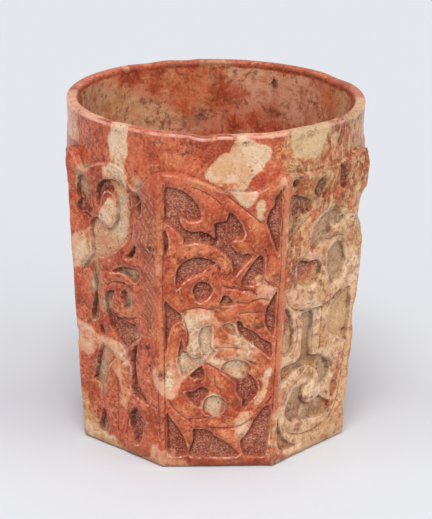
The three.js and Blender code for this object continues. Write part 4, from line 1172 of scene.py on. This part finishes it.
def carved_stone():
    stone = Finish("carved_stone")
    into_ground, to_line, to_ridge, over_ledge, over_lip, inside = (
        stone.attribute(name)
        for name in ("into_ground", "to_line", "to_ridge", "over_ledge", "over_lip", "inside"))

    clouds = stone.noise(9, 4)
    mottle = stone.noise(3.6, 6, 0.65, (40, 10, 5))
    blots = stone.noise(2.0, 5, 0.65, (13, 44, 9))
    flecks = stone.noise(1.1, 4, 0.65, (7, 90, 31))
    grain = stone.noise(0.6, 3, 0.6, (3, 2, 77))
    pale_haze = mottle.rises(0.5, 0.64)
    dark_blots = blots.rises(0.5, 0.62)
    busy = stone.noise(13, 3, shift=(33, 8, 52)).rises(0.42, 0.58)

    def mottled(dark, usual, light):
        shade = stone.mix(clouds.rises(0.4, 0.6) * 0.5, usual, light)
        shade = stone.mix(clouds.falls(0.36, 0.5) * 0.45, shade, dark)
        shade = stone.mix(pale_haze * 0.6, shade, light)
        return stone.mix(dark_blots * (0.3 + busy * 0.45), shade, dark)

    stone.colour = mottled(*RED)
    red_share = 1.0
    ragged = (clouds - 0.5) * 4.0 + (mottle - 0.5) * 5.0 + (blots - 0.5) * 3.0 + (flecks - 0.5) * 1.6
    ragged = ragged * (1.0 + inside * 0.8)
    for kind, dark, usual, light, softness, raggedness in KINDS:
        into = (stone.attribute(kind) + ragged * raggedness) * (1.0 - inside * 0.6)
        share = into.rises(-softness, softness)
        stone.tint(share, mottled(dark, usual, light))
        if kind in LIGHT_KINDS:
            red_share = red_share * (1.0 - share)

    # Veins, specks and grain that go through every kind
    in_well = inside.rises(0.6, 0.9)
    crumbly = stone.attribute("crumbly").rises(-1.5, 1.5)
    wander = stone.noise(7, 5, 0.6, (91, 17, 3)) - 0.5
    vein = wander.size().falls(0.003, 0.014) * mottle.rises(0.46, 0.6)
    stone.tint(vein * 0.6, (96, 42, 28))
    specks = stone.cells(2.1).falls(0.06, 0.24) * stone.noise(9, 3, shift=(5, 5, 60)).rises(0.4, 0.6)
    stone.tint(specks * flecks.rises(0.4, 0.56) * 0.85, (84, 34, 24))
    # How strongly dark stains and grain, and the painted shade, show: less in light stone and in the well
    stain_and_shade_weight = (0.45 + red_share * 0.55) * (1.0 - in_well * 0.35)
    stone.tint(flecks.rises(0.52, 0.64) * stain_and_shade_weight * (0.34 + busy * 0.45), (124, 50, 28))
    stone.tint(flecks.falls(0.34, 0.48) * (0.2 + pale_haze * 0.5), (248, 174, 126))
    stone.tint(grain.rises(0.52, 0.66) * 0.24, (242, 164, 118))
    stone.tint(grain.falls(0.34, 0.48) * stain_and_shade_weight * 0.4, (106, 40, 22))
    # Painted shade: the stone darkens over its lowest few millimetres, towards the foot
    height = stone.node("ShaderNodeSeparateXYZ", {}, {0: stone.place}, "Z")
    foot = (height + (mottle - 0.5) * 0.006).falls(0.0, 0.006)
    stone.tint(foot * stain_and_shade_weight * 0.6, (128, 58, 36))
    stone.tint(in_well * (0.05 + clouds.rises(0.48, 0.62) * 0.25), (238, 180, 146))
    cracks = in_well * (stone.noise(11, 5, 0.62, (9, 71, 33)) - 0.5).size().falls(0.004, 0.03)
    stone.tint(cracks * blots.rises(0.4, 0.56) * 0.55, (112, 52, 30))

    # The weathered right-hand face, and the crumbly stone at its top and on the neck above it
    weathered = stone.attribute("weathered").rises(-1.0, 1.0) * into_ground.falls(-0.4, 0.8)
    stone.tint(weathered * blots.rises(0.5, 0.58) * 0.4, (158, 98, 62))
    stone.tint(weathered * mottle.falls(0.42, 0.5) * 0.4, (242, 204, 158))
    stone.tint(weathered * flecks.rises(0.54, 0.62) * 0.4, (128, 72, 46))
    # Painted highlight on the raised stone of the weathered face, away from the edges of its grounds
    raised_highlight = weathered * (1.0 - crumbly) * into_ground.rises(-1.9, -0.8) * mottle.falls(0.46, 0.58)
    stone.tint(raised_highlight * 0.6, (255, 218, 178))
    streaks = stone.noise(2.4, 5, 0.65, (61, 2, 14), squash=0.45)
    stone.tint(crumbly * clouds.rises(0.48, 0.56) * 0.25, (244, 196, 128))
    in_cream = stone.attribute("cream").rises(-0.6, 0.6)
    stone.tint(crumbly * streaks.rises(0.5, 0.58) * (0.65 - in_cream * 0.5), (224, 120, 68))
    stone.tint(crumbly * streaks.falls(0.42, 0.5) * 0.8, (255, 208, 150))
    stone.tint(crumbly * in_cream * 0.75, (255, 214, 162))
    stains = crumbly * (1.0 - in_cream * 0.5)
    stone.tint(stains * mottle.rises(0.53, 0.6) * 0.35, (148, 84, 58))
    stone.tint(stains * flecks.rises(0.52, 0.6) * 0.32, (116, 56, 34))
    stone.tint(crumbly * flecks.falls(0.38, 0.46) * 0.55, (250, 200, 142))

    # Tool marks and dust in the sunk grounds, painted shade and painted highlights round them, and dirt and
    # painted shade in the cuts
    floor = into_ground.rises(0.3, 0.55)
    below = stone.attribute("below_edge").rises(-0.5, 0.9)
    stipple = stone.noise(0.42, 2, shift=(72, 5, 28))
    dust = stone.mix(clouds.rises(0.4, 0.6), (132, 68, 52), (136, 92, 80))
    dusty = stone.mix(red_share * 0.45, stone.colour, dust)
    dusty = stone.mix(flecks.falls(0.38, 0.5) * 0.14, dusty, (228, 166, 136))
    dusty = stone.mix(stipple.rises(0.5, 0.66) * (0.2 + red_share * 0.3), dusty, (232, 172, 146))
    dusty = stone.mix(stipple.falls(0.36, 0.5) * stain_and_shade_weight * 0.5, dusty, (84, 40, 30))
    stone.tint(floor, dusty)
    # Painted shadow on the ground under the edges that face down and to the right
    shade = into_ground.band(0.0, 0.15, 0.4, 1.3) * below
    shade = shade * (0.3 + stain_and_shade_weight * 0.7) * (1.0 - crumbly * 0.6)
    stone.tint(shade * (0.48 + mottle.rises(0.4, 0.6) * 0.45), (58, 28, 20))
    # Painted shade, with some dirt, on the walls of the grounds
    wall = into_ground.band(-0.02, 0.12, 0.45, 0.8)
    stone.tint(wall * (0.12 + mottle.rises(0.4, 0.6) * 0.25), (84, 38, 26))
    # Raised stone next to a ground is darker in blotches: painted shade where it rounds down, and dirt
    shoulder_shade_and_dirt = into_ground.band(-1.8, -0.5, -0.3, 0.0)
    stone.tint(shoulder_shade_and_dirt * blots.rises(0.42, 0.56) * 0.4, (136, 52, 28))
    # Painted highlights on the raised edges of the grounds, brightest where they face up and to the left
    glints = flecks.rises(0.4, 0.54) * (0.15 + below * 0.85) * (0.3 + mottle.falls(0.44, 0.56) * 0.7)
    edge = into_ground.band(-0.65, -0.3, -0.08, 0.04)
    stone.tint(edge * glints * 0.85, (250, 184, 154))
    # Dirt and painted shade in the cuts
    cut = to_line.size().falls(0.06, 0.28)
    stone.tint(cut * (0.08 + mottle.rises(0.42, 0.56) * 0.55), (84, 36, 24))
    # Painted highlights beside the cuts, on their worn edges
    wear_and_highlight = to_line.band(0.15, 0.3, 0.45, 0.7)
    stone.tint(wear_and_highlight * flecks.rises(0.46, 0.56) * mottle.falls(0.44, 0.54) * 0.5, (250, 184, 152))

    # Painted highlights on the ridges, the top edge and the lip, painted shade where the ledge meets the
    # neck, and the scratches on the left-hand face
    # Painted highlights along the ridges
    stone.tint(to_ridge.falls(0.1, 0.8) * flecks.rises(0.44, 0.56) * 0.35, (238, 150, 116))
    # Painted highlight along the ledge over the top edge
    ledge = over_ledge.band(-0.4, -0.1, 0.2, 0.8)
    stone.tint(ledge * (0.1 + blots.rises(0.42, 0.58) * 0.5), (242, 172, 146))
    # Painted shade in the crease where the ledge meets the neck
    joint = over_ledge.band(0.8, 1.0, 1.1, 2.0)
    stone.tint(joint * (0.1 + mottle.rises(0.4, 0.6) * 0.45), (108, 46, 32))
    # Painted highlights on the lip's top and, brighter, on its outer edge
    lip = over_lip.band(-0.4, 1.0, 3.6, 4.4)
    stone.tint(lip * (0.04 + blots.rises(0.42, 0.58) * 0.2), (246, 160, 126))
    lip_edge = over_lip.band(-0.3, 0.15, 0.5, 0.9)
    stone.tint(lip_edge * (0.15 + mottle.falls(0.4, 0.6) * 0.5), (255, 200, 178))
    inner_edge = over_lip.band(3.0, 3.8, 5.2, 6.4)
    stone.tint(inner_edge * mottle.rises(0.36, 0.54) * 0.5, (122, 54, 34))
    under_lip = over_lip.band(-2.6, -1.0, -0.9, -0.5)
    stone.tint(under_lip * mottle.rises(0.44, 0.56) * 0.35, (150, 58, 34))
    long_waves = (stone.attribute("over_scratches") * 4.6 + clouds * 16.0 + blots * 4.0).sine()
    short_waves = (stone.attribute("over_hatching") * 5.4 + clouds * 12.0 + blots * 4.0).sine()
    waves = long_waves + (short_waves - long_waves) * mottle.rises(0.5, 0.56)
    scratched = stone.attribute("scratched").rises(-0.8, 0.8)
    stone.tint(scratched * 0.25 + scratched * waves.falls(-0.9, -0.3) * 0.25, (126, 66, 50))
    scratches = scratched * waves.rises(0.2, 0.9) * flecks.rises(0.46, 0.52) * blots.falls(0.5, 0.6)
    stone.tint(scratches * 0.75, (240, 168, 140))

    relief = (grain - 0.5) * (0.03 + floor * 0.3) + (flecks - 0.5) * (0.08 + floor * 0.3) - specks * 0.12
    pits = stone.attribute("dark").rises(-0.1, 0.3)
    relief = relief - scratches * 0.12 + crumbly * ((blots - 0.5) * 1.6 + (flecks - 0.5) * 0.8) - pits * 0.5
    rough = 0.3 + floor * 0.4 + wall * 0.2 + flecks.rises(0.5, 0.7) * 0.15
    return stone.surface(
        Base_Color=stone.colour, Roughness=rough, Specular_IOR_Level=0.28, Normal=stone.bump(relief))


# Studio

# Half the width of the paper in metres
FLOOR_REACH = 6.0


def make_floor():
    """A sheet of paper, a little darker round the cup than in front of it and behind it: painted shade round
    the cup, and painted light making the front lightest.
    """
    paper = Finish("paper")
    depth = paper.node("ShaderNodeSeparateXYZ", {}, {0: paper.place}, "Y")
    shade = paper.mix(depth.rises(0.005, 0.05), PAPER, FAR_PAPER)
    shade = paper.mix(depth.falls(-0.05, 0.018), shade, NEAR_PAPER)
    points = np.array([(-1, -1, 0), (1, -1, 0), (1, 1, 0), (-1, 1, 0)]) * (FLOOR_REACH / MM)
    sheet = paper.surface(Base_Color=shade, Roughness=1.0)
    make_object("floor", points, [(0, 1, 2, 3)], {}, sheet)


def sun(name, azimuth, elevation, strength, spread):
    """A soft light from far away, from the given direction in degrees to the right of the front."""
    data = bpy.data.lights.new(name, "SUN")
    data.energy = strength
    data.angle = math.radians(spread)
    lamp = bpy.data.objects.new(name, data)
    bpy.context.collection.objects.link(lamp)
    turn = Matrix.Rotation(math.radians(azimuth), 4, "Z")
    lamp.matrix_world = turn @ Matrix.Rotation(math.radians(90 - elevation), 4, "X")


def make_lights():
    world = bpy.data.worlds.new("studio")
    bpy.context.scene.world = world
    world.use_nodes = True
    sky = world.node_tree.nodes["Background"]
    sky.inputs["Color"].default_value = linear((250, 251, 255))
    sky.inputs["Strength"].default_value = 0.56
    sun("key", -11, 62, 1.4, 26)
    sun("fill", 44, 34, 0.46, 60)


make_camera()
bpy.context.scene.view_settings.view_transform = "Standard"
make_floor()
make_lights()

cup = make_object("carved_cup", *cup_mesh(), carved_stone())
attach(cup, "root")
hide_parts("cup")
